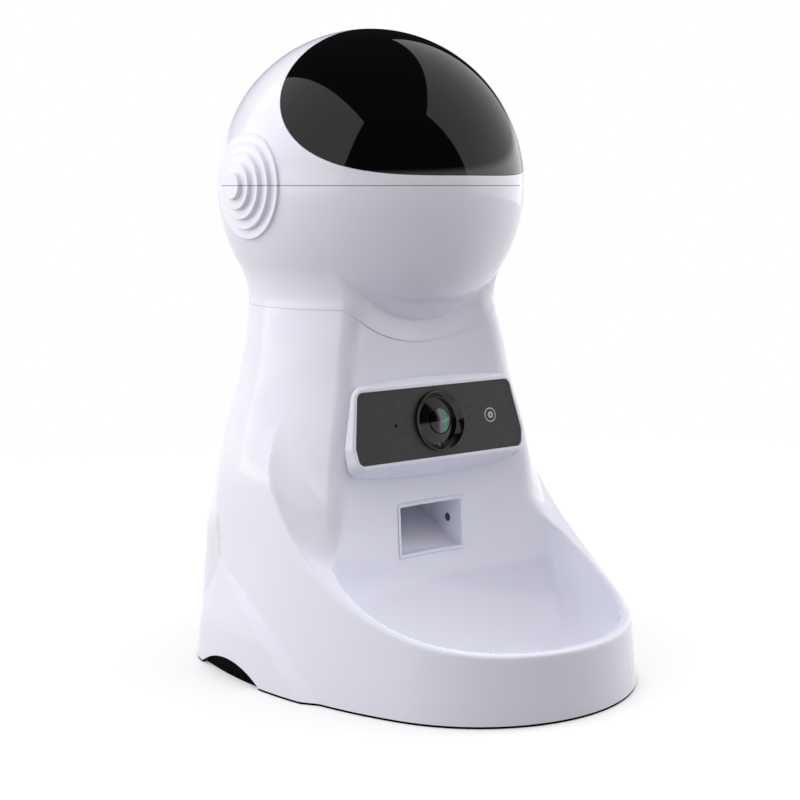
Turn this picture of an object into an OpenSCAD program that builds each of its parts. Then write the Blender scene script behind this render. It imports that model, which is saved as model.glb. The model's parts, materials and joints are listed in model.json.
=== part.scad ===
// Automatic pet feeder with camera.
// A round food head on a flared column, with a fixed bowl in the foot.
// Front is -Y, up is +Z, the feet stand on Z = 0.

/* [Head] */
// Outer diameter of the round head
head_d = 180; // [174:1:186]
// Height of the head's centre, where lid and head part
head_z = 274; // [270:1:280]
// Wall of the white shells
shell_wall = 2.5; // [2:0.1:3]
// Gap between lid and head
parting_gap = 0.6; // [0.4:0.1:1]
// Height of the lid's brim under the visor, at the front
brim_h = 5.7; // [4:0.1:12]
// Gap round the visor window
visor_gap = 0.3; // [0.2:0.05:0.5]
// Diameter of the largest ear step
ear_d = 59.4; // [52:0.1:66]
// Steps of each ear
ear_steps = 5; // [3:1:5]
// Width of one ear step
ear_step_w = 5.5; // [4:0.1:6]
// Rise of one ear step
ear_step_h = 2.7; // [1.5:0.1:3]
// How far the lowest ear step stands off the head
ear_lift = 1.8; // [1:0.1:3]

/* [Lid hinge] */
// Diameter of the hinge pin
hinge_pin_d = 4; // [3:0.1:5]
// Running clearance on the pin, on the radius
hinge_fit = 0.06; // [0.02:0.01:0.1]
// Outer diameter of the hinge knuckles
knuckle_d = 10; // [9:0.1:12]
// Length of the lid's middle knuckle
knuckle_l = 30; // [20:1:40]
// Length of the head's two outer knuckles
side_knuckle_l = 11; // [8:1:15]
// Gap between knuckles along the pin
knuckle_gap = 0.4; // [0.3:0.1:0.8]

/* [Column and neck] */
// Diameter of the neck
neck_d = 144.6; // [142:0.1:147]
// Height of the neck's narrowest place
neck_z = 207; // [204:1:210]
// How far inside the head's outline the neck seam runs, seen from the front
seam_in = 2; // [0.5:0.5:5]
// Gap at the neck seam
seam_gap = 0.3; // [0.2:0.1:0.6]
// Steepest slope of the column's flare
flare_slope = 0.31; // [0.29:0.01:0.33]
// Slope of the column near the foot
foot_slope = 0.055; // [0.04:0.005:0.07]
// Height over which the flare grows
flare_h = 55; // [50:1:60]
// Height over which the flare dies away again
flare_fade_h = 71.5; // [66:0.5:78]

/* [Front face] */
// Radius of the hollow front face
face_r = 230; // [215:5:245]
// Distance from the head's axis to the face at the neck
face_y = 47.5; // [46.5:0.5:49]
// Tilt of the front face
face_tilt = 3.5; // [3:0.1:4]
// Radius where the face runs into the bowl
face_fillet = 55; // [50:1:57]

/* [Foot and bowl] */
// Distance from the head's axis to the front of the foot
front_reach = 185.2; // [181:0.1:189]
// Radius of the foot's round front
front_r = 92.4; // [91:0.1:94]
// Half width of the foot
foot_half_w = 107.5; // [105:0.5:110]
// Where the foot is widest, ahead of the head's axis
widest_y = 25; // [22:1:28]
// Radius at the back end of the skirt's wings
wing_corner_r = 30; // [27:1:33]
// Where the wings' back ends are centred, behind the head's axis
wing_corner_y = 17; // [15:1:19]
// Lean of the skirt wall
skirt_lean = 0.097; // [0.09:0.001:0.105]
// Height of the wings' shoulders
skirt_top = 140; // [136:1:144]
// Height of the round on the wings' shoulders
shoulder_h = 12; // [9:1:15]
// Depth of the round on the wings' shoulders
shoulder_w = 10; // [9:0.5:12]
// Radius of the swept upper edge of the skirt
swoop_r = 193; // [188:1:198]
// Height of the rim at the front of the bowl
rim_h = 36.5; // [34:0.5:39]
// Width of the flat bowl rim
rim_w = 6.5; // [5.5:0.5:8]
// Height of the bowl's floor
bowl_floor = 10; // [9:0.5:11]
// Radius between the bowl's floor and wall
bowl_fillet = 26; // [23:1:27]
// How far the heel stands out from the skirt
heel_t = 3; // [2:0.5:4]
// Height of the heel
heel_h = 90; // [84:1:96]
// Height of the kink in the heel's front edge
heel_kink_h = 62; // [58:1:68]
// Where the heel's front edge meets the floor, ahead of the head's axis
heel_toe = 80; // [75:1:84]
// Length of the finger arches at the foot
arch_l = 64; // [56:1:68]
// Height of the finger arches
arch_h = 9.5; // [8:0.5:11]
// Where the finger arches are centred, ahead of the head's axis
arch_y = 10.5; // [8:0.5:13]
// Depth of the finger pockets behind the arches
grip_depth = 11; // [9:0.5:14]

/* [Camera panel] */
// Height of the panel along its slope
panel_h = 40; // [38:0.5:42]
// Half width of the panel's top edge
panel_top_w = 55.5; // [54:0.5:56.5]
// Half width of the panel where it is widest
panel_mid_w = 61; // [59.5:0.5:62]
// Half width of the panel's bottom edge
panel_bottom_w = 59.5; // [58:0.5:60.5]
// Height of the panel's centre
panel_z = 141.6; // [140:0.2:143]
// Gap between the panel's top corners and the face behind them
panel_gap = 0.4; // [0.3:0.1:1.5]
// Tilt of the panel
panel_tilt = 11.4; // [10:0.1:13]
// Thickness of the panel
panel_t = 2; // [1.6:0.1:2.5]
// Width of the white frame round the panel
bezel_w = 2.2; // [1.8:0.1:2.8]
// Flare of the frame's flanks, in degrees
bezel_flare = 25; // [20:1:30]
// Diameter of the lens ring
lens_ring_d = 35; // [33:0.5:37]
// How far the lens ring stands out
lens_ring_h = 2; // [1.8:0.1:2.5]
// Diameter of the lens glass
lens_d = 14; // [12:0.5:16]
// Button diameter
button_d = 7; // [6:0.1:8]
// Button travel
button_travel = 0.8; // [0.5:0.1:1]
// Distance of the button from the lens
button_x = 38.4; // [36:0.2:40]
// Distance of the microphone hole from the lens
mic_x = 31.4; // [29:0.2:34]
// Length of the camera board
camera_board_w = 96; // [92:1:98]
// Height of the camera board
camera_board_h = 24; // [20:1:28]

/* [Chute and dosing] */
// Width of the chute's outlet
chute_w = 44.6; // [42:0.2:47]
// Height of the chute's outlet
chute_h = 26.6; // [25:0.2:28]
// Height of the outlet's lower edge
chute_z = 65.8; // [64:0.2:68]
// Wall of the chute
chute_wall = 1.9; // [1.5:0.1:2.2]
// Width of the drop hole over the chute
drop_w = 30; // [26:1:32]
// Diameter of the dosing rotor
rotor_d = 76; // [74:1:78]
// Height of the dosing rotor
rotor_h = 28; // [25:1:30]
// Vanes of the dosing rotor
vanes = 6; // [4:1:8]
// Wall of the dosing housing and hopper
hopper_wall = 2; // [1.6:0.1:2.4]
// Diameter of the rotor shaft
shaft_d = 6; // [5:0.5:7]
// Gear module
gear_module = 0.8; // [0.75:0.05:0.85]
// Teeth of the gear on the rotor shaft
rotor_teeth = 32; // [28:4:32]
// Teeth of the pinion on the motor
pinion_teeth = 12; // [12:1:13]
// Diameter of the motor
motor_d = 28; // [26:1:30]
// Length of the motor
motor_l = 42; // [36:1:46]

/* [Foot fittings] */
// Thickness of the base plate's flange
base_flange = 1.4; // [1.2:0.1:1.8]
// Thickness of the base plate's floor
base_floor_t = 4; // [3.6:0.1:4.2]
// Diameter of the rubber feet
foot_d = 18; // [14:1:20]
// How far the rubber feet lift the base plate
foot_lift = 1; // [0.8:0.1:1.5]
// Length of the battery box
battery_l = 66; // [60:1:70]
// Width of the battery box
battery_w = 72; // [66:1:76]
// Height of the battery box
battery_h = 36; // [34:1:38]
// Diameter of the speaker
speaker_d = 40; // [36:1:44]
// Outer diameter of the power socket
socket_d = 11; // [10:0.5:12]
// Bore of the power socket
socket_bore = 6.4; // [5.5:0.1:7]

/* [Hidden] */
$fn = 96;
smooth = 128;
// overlap that joins two forms of one piece
eps = 0.01;
// gap between fixed neighbours
fit = 0.3;
// running clearance of shafts and pins, on the radius
run_fit = 0.05;
// length that reaches past the whole object, for cuts
far = 3 * front_reach;

head_r = head_d / 2;
neck_r = neck_d / 2;
pin_r = hinge_pin_d / 2;
knuckle_r = knuckle_d / 2;
// the hinge lies just behind the head, on the parting plane
hinge_clear = 0.6;
hinge_y = head_r + knuckle_r + hinge_clear;
arm_root = 8;
seal_w = 2;
seal_h = 3;
seal_gap = 0.2;

// neck fillet: a round that runs just into the head
neck_drop = head_z - neck_z;
neck_bite = 0.4;
neck_meet = head_r - neck_bite;
neck_fillet = (neck_meet ^ 2 - neck_r ^ 2 - neck_drop ^ 2) / (2 * (neck_r - neck_meet));
neck_top = head_z - (head_r - 2) * neck_drop / (head_r + neck_fillet);
seam_r = head_r - seam_in;
seam_drop = 1;
seam_depth = 20;

// foot outline: arcs that meet smoothly, the back is the column's own round
bowl_y = -(front_reach - front_r);
widest = -widest_y;
side_rise = widest - bowl_y;
side_r = (foot_half_w ^ 2 - front_r ^ 2 + side_rise ^ 2) / (2 * (foot_half_w - front_r));
side_c = side_r - foot_half_w;
corner_x = sqrt((side_r - wing_corner_r) ^ 2 - (wing_corner_y - widest) ^ 2) - side_c;
// angles at which one arc hands over to the next, from the front round the right side
front_end = 90 - atan2(side_rise, side_c);
side_end = 90 + atan2(wing_corner_y - widest, corner_x + side_c);

// skirt rings: straight lean, then the round of the shoulder
shoulder_steps = 5;
skirt_base = -1;
skirt_bend = skirt_top - shoulder_h;
skirt_gap = 0.2;
skirt_bottom = foot_lift + base_flange + skirt_gap;

// swept edge, its lowest place is just behind the foot's front
swoop_y = 2 - front_reach;
swoop_z = rim_h + swoop_r;

// front face
face_floor = 5;
face_top = head_z - 24;

// bowl
bowl_r = front_r - skirt_lean * rim_h - rim_w;
bowl_draft = 0.09;
bowl_top = 3 * rim_h;

// heel
heel_kink_y = 14.5;
heel_top_y = 23;

// ears
ear_base_x = sqrt(head_r ^ 2 - (ear_d / 2) ^ 2) + ear_lift;

// visor edge circle, seen from the side, relative to the head's centre
visor_y = -0.99 * head_r;
visor_z = head_r;
visor_edge_r = visor_z - brim_h;

// camera panel
bezel_depth = 24;
bezel_lip = 0.6;
bezel_seat = 2;
bezel_gap = 0.2;
panel_corner = 4;
panel_widest = -0.25 * panel_h;
panel_top_z = panel_z + panel_h / 2 * cos(panel_tilt);
face_sag = face_r - sqrt(face_r ^ 2 - panel_top_w ^ 2);
face_at_top = face_y + (neck_z - panel_top_z) * tan(face_tilt) + face_sag;
// distance from the head's axis to the panel's centre
panel_y = face_at_top + panel_gap + panel_t + panel_h / 2 * sin(panel_tilt);
lens_step = 1;
lens_seat_r = lens_ring_d / 2 - lens_step;
lens_depth = 1.4;
lens_gap = 0.4;
lens_t = 3;
lens_bulge = 1.2;
ring_seat = 5;
// the ring slopes in to a valley, then rises again to the lens
valley_r = 0.78 * lens_ring_d / 2;
valley_deep = 3.6;
ring_edge = 0.6;
light_d = 2.5;
light_h = 1.4;
light_z = lens_ring_h - valley_deep - 2;
camera_w = 18;
button_ring_w = 0.7;
button_ring_h = 0.2;
button_proud = 0.4;
flange_t = 0.8;
flange_w = 1;
plunger_gap = 0.2;
switch_w = 6;
switch_h = 3.5;
plunger_d = 3.4;
mic_d = 1.8;
mic_can_d = 6;
board_back = 9;
board_t = 1.6;
board_margin = 2;
post_d = 3.6;

// dosing, from the top of the food path down
rotor_z = 153;
rotor_gap = 1;
housing_wall_r = rotor_d / 2 + rotor_gap;
housing_r = housing_wall_r + hopper_wall;
housing_floor = rotor_z - rotor_gap - hopper_wall;
housing_roof = rotor_z + rotor_h + 2 * rotor_gap;
housing_top = housing_roof + hopper_wall;
hopper_drop = 5;
hopper_top = head_z - hopper_drop;
hopper_rim_w = 6;
hopper_rim_t = 3;
hopper_rim_low = hopper_drop + hopper_rim_t;
hopper_mouth_r = sqrt((head_r - shell_wall) ^ 2 - hopper_rim_low ^ 2) - fit;
hopper_neck_r = rotor_d / 2 - 5.5;
spout_h = 12;
spout_gap = 0.2;
vane_t = 2;
vane_drop = 2;
hub_r = 9;
shaft_end = 5;

// gears
mesh_gap = 0.08;
gear_h = 6;
gear_gap = 1;
gear_z = housing_floor - gear_h - 1.5;
rotor_gear_r = gear_module * rotor_teeth / 2;
pinion_r = gear_module * pinion_teeth / 2;
gear_reach = rotor_gear_r + pinion_r + mesh_gap;
pinion_bore = 2;
cover_t = 1.6;
cover_gap = 0.4;
cover_r = rotor_gear_r + gear_module + cover_gap + cover_t;
cover_floor = gear_z - gear_gap - cover_t;
cover_margin = 1.6;
motor_bore_h = 8.5;
motor_cap_d = 9;
motor_cap_h = 3;
motor_screw_x = 9;
motor_screw_l = 5.6;

// chute, behind the face and in front of the gears
chute_top = chute_z + chute_h;
chute_back = -cover_r - chute_wall - 2 * fit;
chute_front = -36;
chute_lip = -52;
chute_mouth = -80;
chute_run = 17;
chute_flare = 3;
drop_edge = 1;
sensor_y = -44.4;
sensor_z = chute_z + 14;
sensor_d = 5;
sensor_l = 6;
sensor_flange_w = 1;
sensor_flange_t = 3;

// screws
screw_d = 3;
screw_head_d = 5.6;
screw_head_h = 1.8;
socket_w = 2.4;
socket_deep = 1;
boss_r = 4.5;
boss_top = 20;
boss_gap = 0.1;
boss_inset = shell_wall + boss_r;
screw_side_a = 82;
screw_back_a = 35;
base_screw_l = 8;

// foot fittings
base_inset = 1;
floor_inset = shell_wall + 2;
base_top = foot_lift + base_floor_t;
foot_recess = 2;
back_foot_x = 62;
back_foot_y = 45;
front_foot_x = 48;
front_foot_y = 130;
grip_x = foot_half_w - grip_depth;
grip_wall = 2;
grip_top = skirt_bottom + arch_h + 1;
grip_inset = shell_wall + skirt_lean * (grip_top + grip_wall) + 2 * fit;
battery_y = 22;
battery_wall = 2;
battery_ledge = 4;
door_recess = 2;
door_t = 1.8;
door_gap = 0.2;
door_screw_d = 2.1;
door_screw_l = 3.6;
door_screw_y = battery_y + battery_l / 2 - battery_ledge / 2 - 0.2;
contact_w = 12;
contact_t = 0.5;
contact_h = 16;
contact_pitch = 21;
contact_lift = 8;
post_h = 6;
board_post_d = 7;
board_post_in = 8;
main_board_z = base_top + battery_h + post_h;
main_board_edge = 2;
chip_x = 4;
chip_w = 14;
chip_h = 1.4;
radio_l = 18;
radio_w = 10;
radio_h = 2.2;
cap_d = 6;
cap_h = 9;
cap_pitch = 10;
socket_x = -30;
socket_z = 26;
socket_start = 66;
socket_floor = 72;
socket_pin_d = 2;
speaker_z = 66;
speaker_hole = 2.4;
speaker_pitch = 6;
speaker_rim_t = 3;
speaker_cone_h = 6;
magnet_d = 22;
magnet_h = 5;

white = [0.93, 0.93, 0.96];
gloss_black = [0.05, 0.05, 0.06];
panel_grey = [0.22, 0.22, 0.22];
black = [0.09, 0.09, 0.09];
steel = [0.72, 0.73, 0.75];
board_green = [0.1, 0.36, 0.22];
nylon = [0.88, 0.86, 0.8];

// Shared forms

// moves a piece from the head's axis to its place, with the whole object centred front to back
module place() {
  front = front_reach - skirt_inset(skirt_bottom);
  back = max(hinge_y + knuckle_r, column_r(skirt_bottom) + heel_t);
  translate([0, (front - back) / 2, 0]) children();
}

// lays a piece on the camera panel's front plane, with Z out of the panel
module on_panel() {
  translate([0, -panel_y, panel_z]) rotate([90 - panel_tilt, 0, 0]) children();
}

module both_sides() {
  children();
  mirror([1, 0, 0]) children();
}

// points of an arc, angles run from the front round the right side
function arc(c, r, from, to, steps) =
  [for (i = [0 : steps - 1])
    let (a = from + (to - from) * i / steps)
    c + r * [sin(a), -cos(a)]];

// right half of the foot outline, from the front to the back, drawn in by inset
function foot_half(inset) = concat(
  arc([0, bowl_y], front_r - inset, 0, front_end, 14),
  arc([-side_c, widest], side_r - inset, front_end, side_end, 8),
  arc([corner_x, wing_corner_y], wing_corner_r - inset, side_end, 180, 9),
  [[corner_x, wing_corner_y + wing_corner_r - inset]]);

function mirrored(points) = [for (i = [len(points) - 1 : -1 : 1]) [-points[i][0], points[i][1]]];

function foot_outline(inset) = concat(foot_half(inset), mirrored(foot_half(inset)));

function ring_at(points, z) = [for (p = points) [p[0], p[1], z]];

function skirt_inset(z) = skirt_lean * z;

// skin through rings of equal point counts, lowest first
module loft(rings) {
  n = len(rings[0]);
  last = len(rings) - 1;
  sides = [for (k = [0 : last - 1], i = [0 : n - 1], t = [0, 1])
    t == 0
      ? [k * n + i, (k + 1) * n + i, (k + 1) * n + (i + 1) % n]
      : [k * n + i, (k + 1) * n + (i + 1) % n, k * n + (i + 1) % n]];
  floor_face = [[for (i = [0 : n - 1]) i]];
  roof_face = [[for (i = [n - 1 : -1 : 0]) last * n + i]];
  polyhedron([for (r = rings, p = r) p], concat(floor_face, sides, roof_face));
}

function unit(v) = v / norm(v);

function corner_arc(a, b, c, r, steps) =
  let (
    u = unit(a - b),
    v = unit(c - b),
    half = acos(u * v) / 2,
    centre = b + unit(u + v) * r / sin(half),
    start = b + u * r / tan(half) - centre,
    sweep = 180 - 2 * half)
  [for (i = [0 : steps])
    let (t = sweep * i / steps)
    centre + [start[0] * cos(t) - start[1] * sin(t), start[0] * sin(t) + start[1] * cos(t)]];

// outline with each corner rounded, points listed anticlockwise
function rounded(points, r, steps = 5) =
  let (n = len(points))
  [for (i = [0 : n - 1])
    each corner_arc(points[(i + n - 1) % n], points[i], points[(i + 1) % n], r, steps)];

function panel_outline(grow) = rounded([
    [panel_bottom_w + grow, -panel_h / 2 - grow],
    [panel_mid_w + grow, panel_widest],
    [panel_top_w + grow, panel_h / 2 + grow],
    [-panel_top_w - grow, panel_h / 2 + grow],
    [-panel_mid_w - grow, panel_widest],
    [-panel_bottom_w - grow, -panel_h / 2 - grow]
  ], panel_corner + grow / 2);

// radius of the column: neck fillet, growing flare, fading flare, straight foot
function column_r(z) =
  let (
    u = neck_z - z,
    grown = flare_slope * flare_h / 2,
    v = u - flare_h,
    faded = (flare_slope + foot_slope) * flare_fade_h / 2)
  u <= 0 ? neck_r + neck_fillet - sqrt(neck_fillet ^ 2 - u ^ 2)
  : v <= 0 ? neck_r + flare_slope * u ^ 2 / (2 * flare_h)
  : v <= flare_fade_h ? neck_r + grown + flare_slope * v
      - (flare_slope - foot_slope) * v ^ 2 / (2 * flare_fade_h)
  : neck_r + grown + faded + foot_slope * (v - flare_fade_h);

// round column of the body, drawn in by inset
module column(inset) {
  steps = 26;
  rise = neck_top - skirt_base;
  heights = [for (i = [0 : steps]) skirt_base + rise * i / steps];
  rotate_extrude($fn = smooth)
    polygon(concat(
      [[0, neck_top], [0, skirt_base]],
      [for (z = heights) [column_r(z) - inset, z]]));
}

module skirt(inset) {
  straight = ring_at(foot_outline(skirt_inset(skirt_base) + inset), skirt_base);
  shoulder = [for (i = [0 : shoulder_steps])
    let (
      a = 90 * i / shoulder_steps,
      z = skirt_bend + shoulder_h * sin(a))
    ring_at(foot_outline(skirt_inset(z) + shoulder_w * (1 - cos(a)) + inset), z)];
  loft(concat([straight], shoulder));
}

module swoop(inset) {
  translate([-far / 2, swoop_y, swoop_z])
    rotate([0, 90, 0])
      cylinder(r = swoop_r + inset, h = far, $fn = smooth);
}

// space in front of the hollow front face, grown by inset
module face_space(inset) {
  r = face_r + inset;
  low = face_floor - neck_z - inset;
  high = face_top - neck_z;
  steps = 8;
  translate([0, -face_y, neck_z])
    rotate([-face_tilt, 0, 0])
      translate([0, -face_r, 0])
        rotate_extrude($fn = smooth)
          polygon(concat(
            [[0, high], [0, low]],
            [for (i = [0 : steps])
              [r - face_fillet + face_fillet * sin(90 * i / steps),
               low + face_fillet - face_fillet * cos(90 * i / steps)]],
            [[r, high]]));
}

// space of the round bowl, grown by inset
module bowl_space(inset) {
  low = bowl_floor - inset;
  knee = bowl_r + inset - bowl_draft * (rim_h - bowl_floor - bowl_fillet);
  steps = 7;
  translate([0, bowl_y, 0])
    rotate_extrude()
      polygon(concat(
        [[0, bowl_top], [0, low]],
        [for (i = [0 : steps])
          [knee - bowl_fillet + bowl_fillet * sin(90 * i / steps),
           low + bowl_fillet - bowl_fillet * cos(90 * i / steps)]],
        [[knee + bowl_draft * (bowl_top - low - bowl_fillet), bowl_top]]));
}

// foot, column and bowl as one solid, drawn in by inset
module body_form(inset) {
  difference() {
    union() {
      difference() {
        skirt(inset);
        swoop(inset);
      }
      difference() {
        column(inset);
        face_space(inset);
      }
    }
    intersection() {
      bowl_space(inset);
      face_space(inset);
    }
  }
}

// heel wrapped round the sides and the back of the foot
module heel() {
  intersection() {
    union() {
      loft([for (z = [skirt_base, heel_h - skirt_base])
        ring_at(foot_outline(skirt_inset(z) - heel_t), z)]);
      intersection() {
        column(-heel_t);
        translate([-far / 2, heel_kink_y / 2, -far / 2]) cube([far, far, far]);
      }
    }
    rotate([90, 0, 90])
      linear_extrude(far, center = true)
        polygon([
          [-heel_toe, 0], [heel_kink_y, heel_kink_h], [heel_top_y, heel_h], [far, heel_h], [far, 0]]);
  }
}

module ball(inset) {
  translate([0, 0, head_z]) sphere(r = head_r - inset, $fn = smooth);
}

// round head and neck as one solid, drawn in by inset
module head_form(inset) {
  ball(inset);
  difference() {
    column(inset);
    face_space(inset);
  }
}

// space above the neck seam
module above_seam(gap) {
  translate([-far / 2, -far / 2, neck_z - seam_drop + gap]) cube([far, far, far]);
  translate([0, -seam_depth, head_z])
    rotate([90, 0, 0])
      cylinder(r = seam_r - gap, h = head_r);
}

// space on one side of the parting plane: side is 1 above and -1 below
module beyond_parting(side) {
  z = side > 0 ? head_z + parting_gap / 2 : head_z - parting_gap / 2 - far;
  translate([-far / 2, -far / 2, z]) cube([far, far, far]);
}

// stepped rings at both ears, on one side of the parting plane
module ears(side) {
  difference() {
    intersection() {
      both_sides()
        translate([0, 0, head_z])
          rotate([0, 90, 0])
            for (i = [0 : ear_steps - 1])
              cylinder(r = ear_d / 2 - i * ear_step_w, h = ear_base_x + i * ear_step_h);
      beyond_parting(side);
    }
    ball(shell_wall / 2);
  }
}

module hinge_bar(r, from, l) {
  translate([from, hinge_y, head_z]) rotate([0, 90, 0]) cylinder(r = r, h = l);
}

// knuckle with a web to the head's wall, on one side of the parting plane
module knuckle(from, l, side) {
  hinge_bar(knuckle_r, from, l);
  intersection() {
    difference() {
      translate([from, head_r - arm_root, head_z - knuckle_r])
        cube([l, hinge_y - head_r + arm_root, knuckle_d]);
      ball(shell_wall / 2);
    }
    beyond_parting(side);
  }
}

// space taken from a half of the head by the parting, in front of the knuckles
module parting_cut(side) {
  intersection() {
    z = side > 0 ? head_z - parting_gap / 2 : head_z + parting_gap / 2 - far;
    translate([-far / 2, -far / 2, z]) cube([far, far, far]);
    translate([-far / 2, hinge_y - knuckle_r - far, 0]) cube([far, far, far]);
  }
}

// space cut for the visor window, seen from the side
module visor_cut(grow) {
  translate([-far / 2, visor_y, head_z + visor_z])
    rotate([0, 90, 0])
      cylinder(r = visor_edge_r + grow, h = far, $fn = smooth);
}

// one tooth with rounded-off flanks, at the angle a
function tooth(m, teeth, a) =
  let (
    r = m * teeth / 2,
    step = 360 / teeth,
    root = r - 1.2 * m,
    tip = r + 0.85 * m,
    right_flank = [[root, -0.34], [r - 0.4 * m, -0.27], [r, -0.22], [r + 0.5 * m, -0.15], [tip, -0.08]],
    left_flank = [for (i = [4 : -1 : 0]) [right_flank[i][0], -right_flank[i][1]]])
  [for (k = concat(right_flank, left_flank)) k[0] * [cos(a + k[1] * step), sin(a + k[1] * step)]];

module gear(teeth, bore, h, phase) {
  linear_extrude(h)
    difference() {
      polygon([for (i = [0 : teeth - 1]) each tooth(gear_module, teeth, phase + i * 360 / teeth)]);
      circle(r = bore, $fn = 48);
    }
}

// screw with its head on Z = 0 and its shank below
module screw(d, head, l) {
  translate([0, 0, -l]) cylinder(d = d, h = l, $fn = 32);
  difference() {
    cylinder(d = head, h = screw_head_h, $fn = 32);
    translate([0, 0, screw_head_h - socket_deep]) cylinder(d = socket_w, h = 2 * socket_deep, $fn = 6);
  }
}

// Lid

module lid_shell() {
  color(white) place()
    difference() {
      union() {
        difference() {
          ball(0);
          ball(shell_wall);
        }
        ears(1);
        knuckle(-knuckle_l / 2, knuckle_l, 1);
      }
      parting_cut(-1);
      visor_cut(visor_gap);
      hinge_bar(pin_r + hinge_fit, -knuckle_l, 2 * knuckle_l);
    }
}

module visor_window() {
  color(gloss_black) place()
    intersection() {
      difference() {
        ball(0);
        ball(shell_wall);
      }
      visor_cut(0);
    }
}

module lid_seal() {
  color(black) place()
    translate([0, 0, head_z + parting_gap / 2])
      rotate_extrude()
        translate([head_r - shell_wall - seal_gap - seal_w, 0])
          square([seal_w, seal_h]);
}

module hinge_pin() {
  l = knuckle_l + 2 * side_knuckle_l;
  color(steel) place() hinge_bar(pin_r, -l / 2, l);
}

// Head and body shells

module head_shell() {
  color(white) place()
    difference() {
      union() {
        intersection() {
          difference() {
            head_form(0);
            head_form(shell_wall);
          }
          above_seam(0);
        }
        ears(-1);
        both_sides() knuckle(knuckle_l / 2 + knuckle_gap, side_knuckle_l, -1);
      }
      parting_cut(1);
      hinge_bar(pin_r, -far / 2, far);
    }
}

module body_shell() {
  color(white) place()
    difference() {
      union() {
        difference() {
          union() {
            body_form(0);
            heel();
          }
          body_form(shell_wall);
        }
        base_screw_places()
          translate([0, 0, base_top + boss_gap]) cylinder(r = boss_r, h = boss_top - base_top, $fn = 48);
      }
      above_seam(-seam_gap);
      translate([-far / 2, -far / 2, skirt_bottom - far]) cube([far, far, far]);
      finger_arches();
      chute_duct(fit / 2);
      camera_window();
      translate([socket_x, 0, socket_z])
        rotate([-90, 0, 0])
          cylinder(d = socket_d + fit, h = far);
      speaker_grille();
      base_screw_places() cylinder(d = screw_d, h = boss_top - 2, $fn = 32);
    }
}

module finger_arches() {
  r = (arch_l ^ 2 / 4 + arch_h ^ 2) / (2 * arch_h);
  translate([-far / 2, -arch_y, skirt_bottom + arch_h - r])
    rotate([0, 90, 0])
      cylinder(r = r, h = far, $fn = smooth);
}

// opening in the front face that the camera board sits in
module camera_window() {
  w = camera_board_w + 2 * board_margin;
  h = camera_board_h + 2 * board_margin;
  on_panel()
    translate([-w / 2, -h / 2, -bezel_depth]) cube([w, h, 2 * bezel_depth]);
}

module speaker_grille() {
  for (i = [-2 : 2], k = [-2 : 2])
    if (abs(i) + abs(k) < 4)
      translate([i * speaker_pitch, 0, speaker_z + k * speaker_pitch])
        rotate([-90, 0, 0])
          cylinder(d = speaker_hole, h = far, $fn = 24);
}

// Camera group

module camera_bezel() {
  spread = bezel_depth * tan(bezel_flare);
  color(white) place()
    difference() {
      intersection() {
        on_panel()
          loft([
            ring_at(panel_outline(bezel_w + spread), -bezel_depth),
            ring_at(panel_outline(bezel_w), bezel_lip)]);
        face_space(-bezel_gap);
      }
      on_panel()
        translate([0, 0, -panel_t - bezel_gap])
          linear_extrude(bezel_depth)
            polygon(panel_outline(fit / 2));
      on_panel()
        translate([0, 0, -2 * bezel_depth])
          linear_extrude(4 * bezel_depth)
            polygon(panel_outline(-bezel_seat));
    }
}

module camera_panel() {
  color(panel_grey) place()
    on_panel()
      translate([0, 0, -panel_t])
        linear_extrude(panel_t)
          difference() {
            polygon(panel_outline(0));
            circle(r = lens_seat_r + run_fit);
            translate([button_x, 0]) circle(d = button_d + 2 * (button_ring_w + run_fit), $fn = 48);
            translate([-mic_x, 0]) circle(d = mic_d, $fn = 32);
          }
}

module lens_ring() {
  r = lens_ring_d / 2;
  throat = lens_d / 2 + lens_gap;
  color(gloss_black) place()
    on_panel()
      difference() {
        rotate_extrude()
          polygon([
            [throat, -ring_seat], [lens_seat_r, -ring_seat], [lens_seat_r, 0], [r, 0],
            [r, lens_ring_h - ring_edge], [r - ring_edge, lens_ring_h],
            [valley_r, lens_ring_h - valley_deep], [throat, lens_ring_h - lens_depth]]);
        translate([0, -valley_r, light_z])
          cylinder(d = light_d + 2 * run_fit, h = 2 * valley_deep, $fn = 32);
      }
}

module lens_glass() {
  r = lens_d / 2;
  dome = (r ^ 2 + lens_bulge ^ 2) / (2 * lens_bulge);
  color([0.16, 0.24, 0.2]) place()
    on_panel()
      translate([0, 0, lens_ring_h - lens_depth - lens_t])
        intersection() {
          cylinder(r = r, h = lens_t + lens_bulge);
          translate([0, 0, lens_t + lens_bulge - dome]) sphere(r = dome);
        }
}

module light_sensor() {
  color([0.35, 0.32, 0.3]) place()
    on_panel()
      translate([0, -valley_r, light_z]) cylinder(d = light_d, h = light_h, $fn = 32);
}

module camera_module() {
  barrel = ring_seat + lens_ring_h - lens_depth - lens_t - bezel_gap;
  color(black) place()
    on_panel() {
      translate([-camera_w / 2, -camera_w / 2, -board_back])
        cube([camera_w, camera_w, board_back - ring_seat - bezel_gap]);
      translate([0, 0, -ring_seat - bezel_gap]) cylinder(d = lens_d, h = barrel);
    }
}

module camera_board() {
  color(board_green) place()
    on_panel() {
      translate([-camera_board_w / 2, -camera_board_h / 2, -board_back - board_t])
        cube([camera_board_w, camera_board_h, board_t]);
      for (x = [-1, 1])
        translate([x * (camera_board_w / 2 - board_margin), 0, -board_back - eps])
          cylinder(d = post_d, h = board_back - panel_t + eps, $fn = 32);
    }
}

module microphone() {
  color(steel) place()
    on_panel()
      translate([-mic_x, 0, -board_back]) cylinder(d = mic_can_d, h = board_back - panel_t - fit, $fn = 48);
}

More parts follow.
